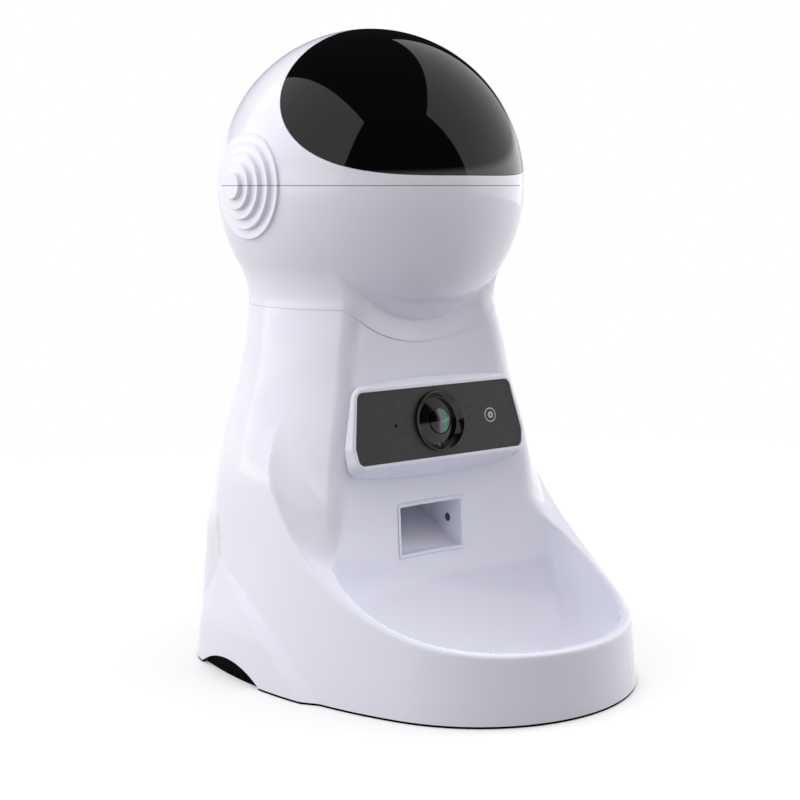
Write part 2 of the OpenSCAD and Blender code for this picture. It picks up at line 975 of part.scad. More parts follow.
module button_ring() {
  color([0.8, 0.8, 0.82]) place()
    on_panel()
      translate([button_x, 0, -panel_t])
        linear_extrude(panel_t + button_ring_h)
          difference() {
            circle(d = button_d + 2 * button_ring_w, $fn = 48);
            circle(d = button_d + 2 * run_fit, $fn = 48);
          }
}

module set_button() {
  low = panel_t + fit + flange_t;
  color(panel_grey) place()
    on_panel()
      translate([button_x, 0, -low]) {
        cylinder(d = button_d, h = low + button_proud, $fn = 48);
        cylinder(d = button_d + 2 * flange_w, h = flange_t, $fn = 48);
      }
}

module button_switch() {
  top = panel_t + fit + flange_t + button_travel + plunger_gap;
  color(black) place()
    on_panel() {
      translate([button_x - switch_w / 2, -switch_w / 2, -board_back]) cube([switch_w, switch_w, switch_h]);
      translate([button_x, 0, -board_back]) cylinder(d = plunger_d, h = board_back - top, $fn = 32);
    }
}

// Chute

// sloping duct as a side outline, grown by grow
module duct_side(grow, w, inlet_top) {
  rotate([90, 0, 90])
    linear_extrude(w, center = true)
      polygon([
        [chute_front - grow, inlet_top],
        [chute_front - grow, chute_top + grow + chute_flare],
        [chute_mouth, chute_top + grow - chute_flare],
        [chute_mouth, chute_z - grow - chute_flare],
        [chute_lip, chute_z - grow],
        [chute_back + grow, chute_z - grow + chute_run],
        [chute_back + grow, inlet_top]]);
}

// outside of the chute, grown by extra
module chute_duct(extra) {
  duct_side(chute_wall + extra, chute_w + 2 * (chute_wall + extra), housing_floor);
}

// hole that the food drops through, in the housing's floor and the chute's roof
module drop_hole() {
  translate([-drop_w / 2, chute_front + drop_edge, housing_floor - 2 * chute_wall])
    cube([drop_w, chute_back - chute_front - 2 * drop_edge, 3 * chute_wall + hopper_wall]);
}

module food_chute() {
  color(white) place()
    difference() {
      chute_duct(0);
      duct_side(0, chute_w, housing_floor - chute_wall);
      drop_hole();
      face_space(0);
      translate([0, sensor_y, sensor_z])
        rotate([0, 90, 0])
          cylinder(d = sensor_d + 2 * run_fit, h = 2 * chute_w, center = true, $fn = 32);
    }
}

module chute_sensors() {
  color([0.12, 0.1, 0.12]) place()
    both_sides()
      translate([chute_w / 2 + fit, sensor_y, sensor_z])
        rotate([0, 90, 0]) {
          cylinder(d = sensor_d, h = sensor_l, $fn = 32);
          translate([0, 0, chute_wall])
            cylinder(d = sensor_d + 2 * sensor_flange_w, h = sensor_flange_t, $fn = 32);
        }
}

// Hopper and dosing

module hopper() {
  top = hopper_top;
  m = hopper_mouth_r;
  n = hopper_neck_r;
  low = housing_top + spout_gap;
  color(nylon) place()
    rotate_extrude()
      polygon([
        [m - hopper_rim_w, top - hopper_rim_t], [m, top - hopper_rim_t], [m, top], [m - hopper_rim_w, top],
        [n, low + spout_h], [n, low],
        [n + hopper_wall, low], [n + hopper_wall, low + spout_h]]);
}

module dosing_housing() {
  color(nylon) place()
    difference() {
      translate([0, 0, housing_floor]) cylinder(r = housing_r, h = housing_top - housing_floor);
      translate([0, 0, housing_floor + hopper_wall])
        cylinder(r = housing_wall_r, h = housing_roof - housing_floor - hopper_wall);
      translate([0, 0, housing_roof - 1]) cylinder(r = hopper_neck_r, h = hopper_wall + 2);
      translate([0, 0, housing_floor - 1]) cylinder(d = shaft_d + 2 * run_fit, h = hopper_wall + 2);
      drop_hole();
    }
}

module dosing_rotor() {
  color([0.8, 0.42, 0.12]) place()
    translate([0, 0, rotor_z])
      difference() {
        union() {
          cylinder(r = hub_r, h = rotor_h);
          for (i = [0 : vanes - 1])
            rotate([0, 0, i * 360 / vanes])
              translate([0, -vane_t / 2, 0])
                cube([rotor_d / 2, vane_t, rotor_h - vane_drop]);
        }
        translate([0, 0, -1]) cylinder(d = shaft_d, h = rotor_h - shaft_end + 1);
      }
}

module rotor_shaft() {
  low = gear_z - gear_gap / 2;
  color(steel) place()
    translate([0, 0, low]) cylinder(d = shaft_d, h = rotor_z + rotor_h - shaft_end - low);
}

module rotor_gear() {
  color(nylon) place() translate([0, 0, gear_z]) gear(rotor_teeth, shaft_d / 2, gear_h, 0);
}

module motor_pinion() {
  color(nylon) place()
    translate([0, gear_reach, gear_z])
      gear(pinion_teeth, pinion_bore, gear_h, 180 / pinion_teeth - 90);
}

module motor_shaft() {
  low = cover_floor - motor_bore_h + gear_gap / 2;
  color(steel) place()
    translate([0, gear_reach, low]) cylinder(r = pinion_bore, h = gear_z + gear_h - low, $fn = 48);
}

module cover_outline(inset) {
  circle(r = cover_r - inset);
  translate([0, gear_reach]) circle(r = motor_d / 2 + cover_margin - inset);
}

module gear_cover() {
  color(black) place()
    difference() {
      translate([0, 0, cover_floor])
        linear_extrude(housing_floor - cover_floor) cover_outline(0);
      translate([0, 0, cover_floor + cover_t])
        linear_extrude(housing_floor - cover_floor) cover_outline(cover_t);
      translate([0, gear_reach, cover_floor - 1])
        cylinder(r = pinion_bore + gear_gap, h = cover_t + 2, $fn = 48);
      motor_screw_places()
        translate([0, 0, -1]) cylinder(d = screw_d + 2 * run_fit, h = cover_t + 2, $fn = 32);
    }
}

module motor_screw_places() {
  for (x = [-1, 1])
    translate([x * motor_screw_x, gear_reach, cover_floor]) children();
}

module drive_motor() {
  color(steel) place()
    difference() {
      translate([0, gear_reach, cover_floor - motor_l]) {
        cylinder(d = motor_d, h = motor_l);
        translate([0, 0, -motor_cap_h]) cylinder(d = motor_cap_d, h = motor_cap_h + 1);
      }
      translate([0, gear_reach, cover_floor - motor_bore_h])
        cylinder(r = pinion_bore + run_fit, h = motor_bore_h + 1, $fn = 48);
      motor_screw_places()
        translate([0, 0, cover_t - motor_screw_l - fit])
          cylinder(d = screw_d, h = motor_screw_l, $fn = 32);
    }
}

module motor_screws() {
  color(steel) place()
    motor_screw_places()
      translate([0, 0, cover_t]) screw(screw_d, screw_head_d - 1, motor_screw_l);
}

// Foot fittings

// outline of the foot on the floor, drawn in by inset
module floor_outline(inset) {
  polygon(foot_outline(inset));
  circle(r = column_r(0) - inset);
}

// edge of the base plate, which also follows the heel
module flange_outline() {
  floor_outline(base_inset);
  intersection() {
    floor_outline(base_inset - heel_t);
    translate([-far / 2, -heel_toe]) square(far);
  }
}

module base_plate() {
  color(black) place()
    difference() {
      union() {
        translate([0, 0, foot_lift]) linear_extrude(base_flange) flange_outline();
        translate([0, 0, foot_lift]) linear_extrude(base_floor_t) floor_outline(floor_inset);
        intersection() {
          both_sides() grip_block(grip_wall);
          linear_extrude(grip_top + grip_wall) polygon(foot_outline(grip_inset));
        }
      }
      both_sides() grip_block(0);
      foot_places() cylinder(d = foot_d + 2 * run_fit, h = foot_lift + foot_recess);
      translate([0, battery_y, 0])
        linear_extrude(far, center = true)
          square([battery_w - 2 * battery_ledge, battery_l - 2 * battery_ledge], center = true);
      translate([0, battery_y, 0])
        linear_extrude(2 * (foot_lift + door_recess), center = true)
          square([battery_w, battery_l], center = true);
      translate([0, door_screw_y, 0]) cylinder(d = door_screw_d, h = base_top, $fn = 32);
      base_screw_places() {
        cylinder(d = screw_d + 2 * run_fit, h = far, $fn = 32);
        cylinder(d = screw_head_d + 2 * run_fit, h = foot_lift + screw_head_h + fit, $fn = 32);
      }
    }
}

// pocket behind a finger arch, grown by grow at its walls and roof
module grip_block(grow) {
  low = grow > 0 ? foot_lift : 0;
  translate([grip_x - grow, -arch_y - arch_l / 2 - grow, low])
    cube([far, arch_l + 2 * grow, grip_top + grow - low]);
}

function side_point(a, inset) = [-side_c, widest] + (side_r - inset) * [sin(a), -cos(a)];

function back_point(a, inset) = (column_r(0) - inset) * [sin(a), cos(a)];

module base_screw_places() {
  both_sides()
    for (p = [side_point(screw_side_a, boss_inset), back_point(screw_back_a, boss_inset)])
      translate([p[0], p[1], 0]) children();
}

module base_screws() {
  color(steel) place()
    base_screw_places()
      translate([0, 0, foot_lift + screw_head_h + fit])
        mirror([0, 0, 1])
          screw(screw_d, screw_head_d, base_screw_l);
}

module rubber_feet() {
  color(black) place()
    foot_places() cylinder(d = foot_d, h = foot_lift + foot_recess);
}

module foot_places() {
  both_sides() {
    translate([back_foot_x, back_foot_y, 0]) children();
    translate([front_foot_x, -front_foot_y, 0]) children();
  }
}

module board_posts() {
  for (x = [-1, 1], y = [-1, 1])
    translate([x * (battery_w / 2 - board_post_in), battery_y + y * (battery_l / 2 - board_post_in), 0])
      children();
}

module battery_box() {
  inner_w = battery_w - 2 * battery_wall;
  inner_l = battery_l - 2 * battery_wall;
  top = base_top + battery_h;
  color(black) place()
    difference() {
      union() {
        translate([-battery_w / 2, battery_y - battery_l / 2, base_top])
          cube([battery_w, battery_l, battery_h]);
        board_posts()
          translate([0, 0, top - eps]) cylinder(d = board_post_d, h = post_h + eps, $fn = 32);
      }
      translate([-inner_w / 2, battery_y - inner_l / 2, base_top - 1])
        cube([inner_w, inner_l, battery_h - battery_wall + 1]);
      board_posts()
        translate([0, 0, top]) cylinder(d = screw_d, h = 2 * post_h, $fn = 32);
    }
}

module battery_door() {
  w = battery_w - 2 * fit;
  l = battery_l - 2 * fit;
  color(black) place()
    difference() {
      translate([-w / 2, battery_y - l / 2, foot_lift + door_recess - door_t]) cube([w, l, door_t]);
      translate([0, door_screw_y, 0]) cylinder(d = door_screw_d + 2 * run_fit, h = base_top, $fn = 32);
    }
}

module door_screw() {
  color(steel) place()
    translate([0, door_screw_y, foot_lift + door_recess - door_t])
      cylinder(d = door_screw_d, h = door_screw_l, $fn = 32);
}

module battery_contacts() {
  wall_y = battery_l / 2 - battery_wall - contact_t / 2;
  color(steel) place()
    for (x = [-1, 0, 1], y = [-1, 1])
      translate([x * contact_pitch, battery_y + y * wall_y, base_top + contact_lift + contact_h / 2])
        cube([contact_w, contact_t, contact_h], center = true);
}

module main_board() {
  w = battery_w - 2 * main_board_edge;
  l = battery_l - 2 * main_board_edge;
  top = main_board_z + board_t - eps;
  color(board_green) place()
    difference() {
      union() {
        translate([-w / 2, battery_y - l / 2, main_board_z]) cube([w, l, board_t]);
        translate([-chip_x - chip_w, battery_y - chip_w / 2, top]) cube([chip_w, chip_w, chip_h]);
        translate([chip_x, battery_y - radio_w / 2, top]) cube([radio_l, radio_w, radio_h]);
        for (x = [-1.5, -0.5, 0.5, 1.5])
          translate([x * cap_pitch, battery_y + l / 2 - cap_d, top]) cylinder(d = cap_d, h = cap_h, $fn = 32);
      }
      board_posts()
        translate([0, 0, main_board_z - 1]) cylinder(d = screw_d + 2 * run_fit, h = board_t + 2, $fn = 32);
    }
}

module board_screws() {
  color(steel) place()
    board_posts()
      translate([0, 0, main_board_z + board_t]) screw(screw_d, screw_head_d, post_h);
}

module speaker() {
  wall_y = sqrt((column_r(speaker_z) - shell_wall) ^ 2 - (speaker_d / 2) ^ 2);
  cone_z = speaker_rim_t + speaker_cone_h;
  color(black) place()
    translate([0, wall_y - fit, speaker_z])
      rotate([90, 0, 0]) {
        cylinder(d = speaker_d, h = speaker_rim_t);
        translate([0, 0, speaker_rim_t - eps])
          cylinder(d1 = speaker_d - 4, d2 = magnet_d, h = speaker_cone_h);
        translate([0, 0, cone_z - 2 * eps]) cylinder(d = magnet_d, h = magnet_h);
      }
}

module power_socket() {
  end = sqrt((column_r(socket_z) + heel_t) ^ 2 - (socket_d / 2 - socket_x) ^ 2) - fit;
  color(black) place()
    translate([socket_x, 0, socket_z])
      rotate([-90, 0, 0])
        difference() {
          translate([0, 0, socket_start]) cylinder(d = socket_d, h = end - socket_start);
          translate([0, 0, socket_floor])
            difference() {
              cylinder(d = socket_bore, h = far, $fn = 48);
              cylinder(d = socket_pin_d, h = far, $fn = 32);
            }
        }
}

lid_shell();
visor_window();
lid_seal();
hinge_pin();
head_shell();
body_shell();
camera_bezel();
camera_panel();
lens_ring();
lens_glass();
camera_module();
camera_board();
light_sensor();
microphone();
button_ring();
set_button();
button_switch();
food_chute();
chute_sensors();
hopper();
dosing_housing();
dosing_rotor();
rotor_shaft();
rotor_gear();
motor_pinion();
motor_shaft();
gear_cover();
drive_motor();
motor_screws();
base_plate();
rubber_feet();
battery_box();
battery_door();
battery_contacts();
door_screw();
base_screws();
main_board();
board_screws();
speaker();
power_socket();
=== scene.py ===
import json
import math

import bmesh
import bpy
import numpy as np
from mathutils import Matrix, Vector


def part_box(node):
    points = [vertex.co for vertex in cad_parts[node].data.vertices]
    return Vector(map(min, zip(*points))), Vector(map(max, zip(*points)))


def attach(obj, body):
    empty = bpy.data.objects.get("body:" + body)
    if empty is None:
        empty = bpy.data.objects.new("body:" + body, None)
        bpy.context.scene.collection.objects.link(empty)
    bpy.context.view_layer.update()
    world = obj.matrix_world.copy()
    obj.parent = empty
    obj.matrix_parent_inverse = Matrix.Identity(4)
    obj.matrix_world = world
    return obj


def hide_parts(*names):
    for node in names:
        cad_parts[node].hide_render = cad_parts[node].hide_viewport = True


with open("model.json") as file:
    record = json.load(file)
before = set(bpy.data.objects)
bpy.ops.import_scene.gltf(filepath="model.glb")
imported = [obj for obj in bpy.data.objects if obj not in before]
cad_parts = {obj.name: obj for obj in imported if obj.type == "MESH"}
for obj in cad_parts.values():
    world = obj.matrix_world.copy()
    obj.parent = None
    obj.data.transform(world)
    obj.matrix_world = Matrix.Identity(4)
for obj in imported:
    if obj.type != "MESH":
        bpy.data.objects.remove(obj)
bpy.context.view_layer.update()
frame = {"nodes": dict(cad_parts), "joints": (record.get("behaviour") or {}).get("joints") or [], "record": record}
cadNodes = frame["nodes"]
joints = {j["name"]: j for j in frame["joints"]}
mm = 0.001
# the head's axis; every size below is in mm and counted from it, unless a note says metres
headY = joints["rotor_spin"]["pos_m"][1] / mm
hingeY = joints["lid_hinge"]["pos_m"][1] / mm - headY
headZ = joints["lid_hinge"]["pos_m"][2] / mm
headC = np.array([0.0, 0.0, headZ])
axisShift = np.array([0.0, headY, 0.0])
print("stage: frame loaded")

# materials: each one drifts between two close shades, over patches sized in mm

noiseSpan = (0.3, 0.7)  # nearly all of a noise's values lie between these
glossShare = 1 / 3  # gloss drifts over smaller patches than colour
mixA, mixB, mixOut = 6, 7, 2  # the colour sockets of a mix node


def toLinear(hexColour):
    parts = [int(hexColour[i : i + 2], 16) / 255 for i in (1, 3, 5)]
    return tuple(c / 12.92 if c <= 0.04045 else ((c + 0.055) / 1.055) ** 2.4 for c in parts) + (1.0,)


def addNode(tree, kind, inputs=None, **props):
    node = tree.nodes.new(kind)
    for key, value in props.items():
        setattr(node, key, value)
    for key, value in (inputs or {}).items():
        if isinstance(value, bpy.types.NodeSocket):
            tree.links.new(value, node.inputs[key])
        else:
            node.inputs[key].default_value = value
    return node


# a value that drifts from low to high over patches of this size
def patchy(tree, coords, size, low, high, detail=2.0):
    noise = addNode(
        tree, "ShaderNodeTexNoise", {"Vector": coords, "Scale": 1 / (size * mm), "Detail": detail}
    )
    span = {"From Min": noiseSpan[0], "From Max": noiseSpan[1], "To Min": low, "To Max": high}
    return addNode(tree, "ShaderNodeMapRange", {"Value": noise.outputs["Fac"], **span}).outputs["Result"]


# two shades, a span of roughness, the size of the grain's patches, and a bump's size and depth
def finish(name, light, dark, rough, grain, bump=None, **extra):
    material = bpy.data.materials.new(name)
    material.use_nodes = True
    tree = material.node_tree
    shader = tree.nodes["Principled BSDF"]
    coords = addNode(tree, "ShaderNodeTexCoord").outputs["Object"]
    colour = addNode(
        tree,
        "ShaderNodeMix",
        {"Factor": patchy(tree, coords, grain, 0.0, 1.0), mixA: toLinear(light), mixB: toLinear(dark)},
        data_type="RGBA",
    )
    tree.links.new(colour.outputs[mixOut], shader.inputs["Base Color"])
    tree.links.new(patchy(tree, coords, grain * glossShare, *rough), shader.inputs["Roughness"])
    if bump:
        size, depth = bump
        height = patchy(tree, coords, size, 0.0, 1.0, detail=1.0)
        dents = addNode(tree, "ShaderNodeBump", {"Height": height, "Distance": depth * mm, "Strength": 1.0})
        tree.links.new(dents.outputs["Normal"], shader.inputs["Normal"])
    for key, value in extra.items():
        shader.inputs[key.replace("_", " ")].default_value = value
    return material


# moulded and polished: a cool white with clear mirror lines
whiteAbs = finish("gloss_white_abs", "#ededf9", "#ebebf7", (0.05, 0.07), 60.0)
# the same plastic in black, less polished, so its edges catch soft lines
blackAbs = finish("gloss_black_abs", "#0b0b0c", "#101011", (0.09, 0.13), 30.0)
# tinted sheet formed over a mould: almost black, with the sharpest reflections
smoked = finish("smoked_acrylic", "#060607", "#09090a", (0.03, 0.045), 60.0)
# spark-eroded mould: a dark grey whose fine grain scatters the light, drawn coarse enough to show
panelSatin = finish("satin_black_panel", "#282828", "#2f2f2f", (0.42, 0.5), 3.0, bump=(0.5, 0.03))
# plain mouldings out of sight: dull black with a slight grain
blackPlastic = finish("matte_black_plastic", "#141414", "#1b1b1b", (0.5, 0.62), 8.0, bump=(0.6, 0.03))
# black for the edge at the floor and the walls behind the finger arches, so dull that it stays black in open
# light: the edge is partly the base plate's own black and partly painted contact shadow, and the walls are painted
# shade
edgeAndShadeBlack = finish("black_edge_and_painted_shade", "#030303", "#050505", (0.7, 0.8), 8.0, Specular_IOR_Level=0.03)
# moulded rubber: dull, with a finely pitted skin
rubber = finish("black_rubber", "#0e0e0e", "#161616", (0.7, 0.82), 6.0, bump=(0.8, 0.05))
# undyed moulded nylon: warm cream, half gloss
nylon = finish("natural_nylon", "#ebe6d8", "#e3ddcd", (0.36, 0.46), 20.0)
# soft moulded vanes: even orange with a low sheen
vaneRubber = finish("orange_silicone", "#d8782c", "#cc6c22", (0.5, 0.6), 12.0)
# drawn wire and turned pins: bright, with an uneven gloss
steel = finish("brushed_steel", "#b4b6ba", "#a6a8ac", (0.25, 0.38), 3.0, Metallic=1.0)
# tinted window over an infrared eye: mid grey and glossy
sensorGrey = finish("smoked_grey_window", "#55565e", "#4d4e56", (0.12, 0.18), 4.0)
# silver print and plating on plastic: pale grey, half gloss
silver = finish("satin_silver_plastic", "#c9c9cd", "#bfbfc4", (0.28, 0.34), 5.0)
# lacquered glass-fibre board: deep green under a soft gloss
boardGreen = finish("circuit_board_lacquer", "#15492b", "#1b5533", (0.3, 0.42), 4.0)

# colours of the reflection painted on the lens, from the glass's left edge to its right
paintedReflection = {
    "half": 6.0,
    "rough": (0.02, 0.04),
    "patch": 4.0,
    "stops": (
        (0.0, "#070608"),
        (0.22, "#0b090c"),
        (0.34, "#43304a"),
        (0.52, "#8a7280"),
        (0.6, "#55706a"),
        (0.75, "#3d8f6c"),
        (1.0, "#1f5a44"),
    ),
}


# ground and coated glass: dark, with the coating's purple and green reflection painted across it from left to
# right
def paintedReflectionGlass():
    material = bpy.data.materials.new("lens_glass_painted_reflection")
    material.use_nodes = True
    tree = material.node_tree
    shader = tree.nodes["Principled BSDF"]
    coords = addNode(tree, "ShaderNodeTexCoord").outputs["Object"]
    # painted reflection: the colour follows the place across the glass, dark at its left edge, purple and then
    # green towards its right
    across = addNode(tree, "ShaderNodeSeparateXYZ", {"Vector": coords}).outputs["X"]
    half = paintedReflection["half"] * mm
    ramp = addNode(tree, "ShaderNodeMapRange", {"Value": across, "From Min": -half, "From Max": half})
    colours = addNode(tree, "ShaderNodeValToRGB", {"Fac": ramp.outputs["Result"]})
    stops = colours.color_ramp.elements
    for position, _ in paintedReflection["stops"][1:-1]:
        stops.new(position)
    for stop, (_, colour) in zip(stops, paintedReflection["stops"]):
        stop.color = toLinear(colour)
    tree.links.new(colours.outputs["Color"], shader.inputs["Base Color"])
    tree.links.new(patchy(tree, coords, paintedReflection["patch"], *paintedReflection["rough"]), shader.inputs["Roughness"])
    return material


# the lens glass, with its painted reflection
lensPaintedReflection = paintedReflectionGlass()
print("stage: materials")

# meshes


# from mm round the head's axis to metres in the shared frame
def toFrame(points):
    return (np.asarray(points, float) + axisShift) * mm


def meshOf(name, points, faces):
    mesh = bpy.data.meshes.new(name)
    mesh.from_pydata([tuple(p) for p in toFrame(points)], [], [tuple(f) for f in faces])
    mesh.validate()
    return mesh


def boxMesh(low, high):
    x, y, z = zip(low, high)
    corners = [(x[i], y[j], z[k]) for i in (0, 1) for j in (0, 1) for k in (0, 1)]
    faces = [(0, 1, 3, 2), (4, 6, 7, 5), (0, 4, 5, 1), (2, 3, 7, 6), (0, 2, 6, 4), (1, 5, 7, 3)]
    return meshOf("box", corners, faces)


# a closed profile of (radius, height) turned round an axis given by its place function
def turnedMesh(profile, place, steps=128):
    points, rings = [], []
    for r, h in profile:
        if r < 1e-6:
            rings.append([len(points)] * steps)
            points.append((0.0, 0.0, h))
        else:
            rings.append(list(range(len(points), len(points) + steps)))
            for i in range(steps):
                a = 2 * math.pi * i / steps
                points.append((r * math.cos(a), r * math.sin(a), h))
    faces = []
    for k in range(len(rings)):
        a, b = rings[k], rings[(k + 1) % len(rings)]
        for i in range(steps):
            j = (i + 1) % steps
            quad = []
            for v in (a[i], a[j], b[j], b[i]):
                if v not in quad:
                    quad.append(v)
            if len(quad) > 2:
                faces.append(quad)
    return meshOf("turned", place(np.array(points)), faces)


# points of an arc in a profile, between two angles in degrees
def arcPoints(centreR, centreH, r, fromA, toA, steps):
    made = []
    for k in range(steps + 1):
        a = math.radians(fromA + (toA - fromA) * k / steps)
        made.append((centreR + r * math.cos(a), centreH + r * math.sin(a)))
    return made


# places for turned and extruded forms

far = 600.0  # well past the object on every side


def upright(q):
    return q


def sideways(q):
    return np.stack((q[:, 2], q[:, 0], q[:, 1]), 1)


def alongX(x0, y, z):
    return lambda q: np.stack((x0 + q[:, 2], y + q[:, 0], z + q[:, 1]), 1)


def alongY(x, y0, z):
    return lambda q: np.stack((x + q[:, 1], y0 + q[:, 2], z + q[:, 0]), 1)


def barMesh(r, l, place, steps=64):
    return turnedMesh([(0, 0), (r, 0), (r, l), (0, l)], place, steps)


def prismMesh(outline, low, high, place):
    n = len(outline)
    points = [(u, v, low) for u, v in outline] + [(u, v, high) for u, v in outline]
    faces = [tuple(reversed(range(n))), tuple(range(n, 2 * n))]
    faces += [(i, (i + 1) % n, n + (i + 1) % n, n + i) for i in range(n)]
    return meshOf("prism", place(np.array(points)), faces)


# a ball round the head's centre
def ballMesh(radius, level):
    bm = bmesh.new()
    bmesh.ops.create_icosphere(bm, subdivisions=level, radius=radius)
    mesh = bpy.data.meshes.new("ball")
    centre = Vector(headC + axisShift)
    for v in bm.verts:
        v.co = (v.co + centre) * mm
    bm.to_mesh(mesh)
    bm.free()
    return mesh


def tempObject(mesh):
    obj = bpy.data.objects.new("temp", mesh)
    bpy.context.scene.collection.objects.link(obj)
    return obj


def finalMesh(obj):
    graph = bpy.context.evaluated_depsgraph_get()
    return bpy.data.meshes.new_from_object(obj.evaluated_get(graph))


# takes the cutters from a mesh, or keeps what they share with it
def carve(mesh, cutters, operation="DIFFERENCE"):
    whole = tempObject(mesh)
    tools = [tempObject(c) for c in cutters]
    for tool in tools:
        step = whole.modifiers.new("cut", "BOOLEAN")
        step.operation = operation
        step.solver = "MANIFOLD"
        step.object = tool
    made = finalMesh(whole)
    for obj in [whole] + tools:
        bpy.data.objects.remove(obj)
    return made


def joined(meshes):
    bm = bmesh.new()
    for mesh in meshes:
        bm.from_mesh(mesh)
    made = bpy.data.meshes.new("joined")
    bm.to_mesh(made)
    bm.free()
    return made


def flipX(mesh):
    bm = bmesh.new()
    bm.from_mesh(mesh)
    for v in bm.verts:
        v.co.x = -v.co.x
    bmesh.ops.reverse_faces(bm, faces=bm.faces)
    bm.to_mesh(mesh)
    bm.free()
    return mesh


# smooth fields: functions of points, negative inside a form and about the distance to its surface

leastSlope = 0.2  # keeps a step finite where a field is nearly level
evenShare = 0.5  # of the way to the middle of its neighbours, that a point moves at a time


def roundMax(a, b, r):
    return np.minimum(np.maximum(a, b), -r) + np.hypot(np.maximum(a + r, 0), np.maximum(b + r, 0))


def roundMin(a, b, r):
    return -roundMax(-a, -b, r)


# two sides that meet in a fillet
def filleted(a, b, r):
    return np.hypot(np.maximum(a, 0), np.maximum(b, 0)) + np.minimum(np.maximum(a, b), 0) - r


def roundedBox(a, b, halfA, halfB, r):
    return filleted(np.abs(a) - halfA + r, np.abs(b) - halfB + r, r)


def smooth(t):
    t = np.clip(t, 0, 1)
    return t * t * (3 - 2 * t)


# a field cut flat below and above
def between(field, bottom, top):
    return lambda p: np.maximum(field(p), np.maximum(p[:, 2] - top, bottom - p[:, 2]))


def slopes(field, points, step=0.02):
    parts = []
    for axis in range(3):
        shift = np.zeros(3)
        shift[axis] = step
        parts.append((field(points + shift) - field(points - shift)) / (2 * step))
    return np.stack(parts, 1)


# draws points onto a field's surface
def settle(field, points, reach, rounds=4):
    for _ in range(rounds):
        slope = slopes(field, points)
        size = np.maximum(np.linalg.norm(slope, axis=1), leastSlope)
        move = np.clip(field(points) / size, -reach, reach)
        points = points - slope * (move / size)[:, None]
    return points


# skin of a field on a grid, with its points drawn onto the field's own surface
def surfaceNet(field, low, high, step, relax):
    # a margin of one and a half steps, so that the skin closes
    axes = [np.arange(a - 1.5 * step, b + 1.6 * step, step) for a, b in zip(low, high)]
    shape = tuple(len(a) for a in axes)
    value = np.empty(shape, np.float64)
    y, z = np.meshgrid(axes[1], axes[2], indexing="ij")
    for i, x in enumerate(axes[0]):
        value[i] = field(np.stack((np.full(y.size, x), y.ravel(), z.ravel()), 1)).reshape(y.shape)
    start = np.array([a[0] for a in axes])
    cells = tuple(n - 1 for n in shape)
    rings, crossings = [], []
    for d in range(3):
        u, v = (d + 1) % 3, (d + 2) % 3
        a = np.moveaxis(value, d, 0)[:-1]
        b = np.moveaxis(value, d, 0)[1:]
        hit = np.moveaxis((a < 0) != (b < 0), 0, d)
        a, b = np.moveaxis(a, 0, d)[hit], np.moveaxis(b, 0, d)[hit]
        place = np.argwhere(hit)
        at = place.astype(float)
        at[:, d] += a / (a - b)
        ring = []
        for su, sv in ((-1, -1), (0, -1), (0, 0), (-1, 0)):
            cell = place.copy()
            cell[:, u] += su
            cell[:, v] += sv
            ring.append(np.ravel_multi_index(cell.T, cells))
        ring = np.stack(ring, 1)
        ring[a >= 0] = ring[a >= 0][:, ::-1]
        rings.append(ring)
        crossings.append(start + step * at)
    rings, crossings = np.concatenate(rings), np.concatenate(crossings)
    used, index = np.unique(rings, return_inverse=True)
    index = index.reshape(rings.shape)
    count = np.bincount(index.ravel(), minlength=len(used))
    points = np.stack(
        [np.bincount(index.ravel(), np.repeat(crossings[:, k], 4), len(used)) / count for k in range(3)], 1
    )
    points = settle(field, points, step)
    # evens the points out along the surface
    ends = np.concatenate([index[:, [0, 1]], index[:, [1, 2]], index[:, [2, 3]], index[:, [3, 0]]])
    near = np.bincount(ends[:, 0], minlength=len(points))[:, None]
    for _ in range(relax):
        total = [np.bincount(ends[:, 0], points[ends[:, 1], k], len(points)) for k in range(3)]
        slope = slopes(field, points)
        slope /= np.maximum(np.linalg.norm(slope, axis=1), leastSlope)[:, None]
        pull = np.stack(total, 1) / near - points
        pull -= slope * np.sum(pull * slope, 1)[:, None]
        points = settle(field, points + evenShare * pull, step, 1)
    points = settle(field, points, step, 2)
    return points, index


def skin(field, grid, relax=4):
    return meshOf("skin", *surfaceNet(field, grid["low"], grid["high"], grid["step"], relax))


def readAll(items, name, width=1, kind=float):
    made = np.empty(width * len(items), kind)
    items.foreach_get(name, made)
    return made.reshape(-1, width) if width > 1 else made


# gives each corner the field's own slope where its face lies on the field
def trueNormals(mesh, field, limit=0.75, near=0.08):
    points = readAll(mesh.vertices, "co", 3) / mm - axisShift
    slope = slopes(field, points)
    slope /= np.maximum(np.linalg.norm(slope, axis=1), 1e-6)[:, None]
    on = np.abs(field(points)) < near
    faces = readAll(mesh.polygons, "normal", 3)
    corner = readAll(mesh.loops, "vertex_index", kind=int)
    owner = np.repeat(np.arange(len(faces)), readAll(mesh.polygons, "loop_total", kind=int))
    fits = (np.sum(slope[corner] * faces[owner], 1) > limit) & on[corner]
    normals = np.where(fits[:, None], slope[corner], faces[owner])
    mesh.normals_split_custom_set(normals.tolist())


def piece(name, mesh, material, body, replaced, angle=30.0):
    mesh.name = name
    mesh.materials.clear()
    mesh.materials.append(material)
    mesh.polygons.foreach_set("use_smooth", [True] * len(mesh.polygons))
    mesh.set_sharp_from_angle(angle=math.radians(angle))
    obj = bpy.data.objects.new(name, mesh)
    bpy.context.scene.collection.objects.link(obj)
    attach(obj, body)
    if replaced:
        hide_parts(*replaced)


# forms that several pieces share

coarse = 1.0
shellWall = 2.5
partingGap = 0.3
headR = 90.0
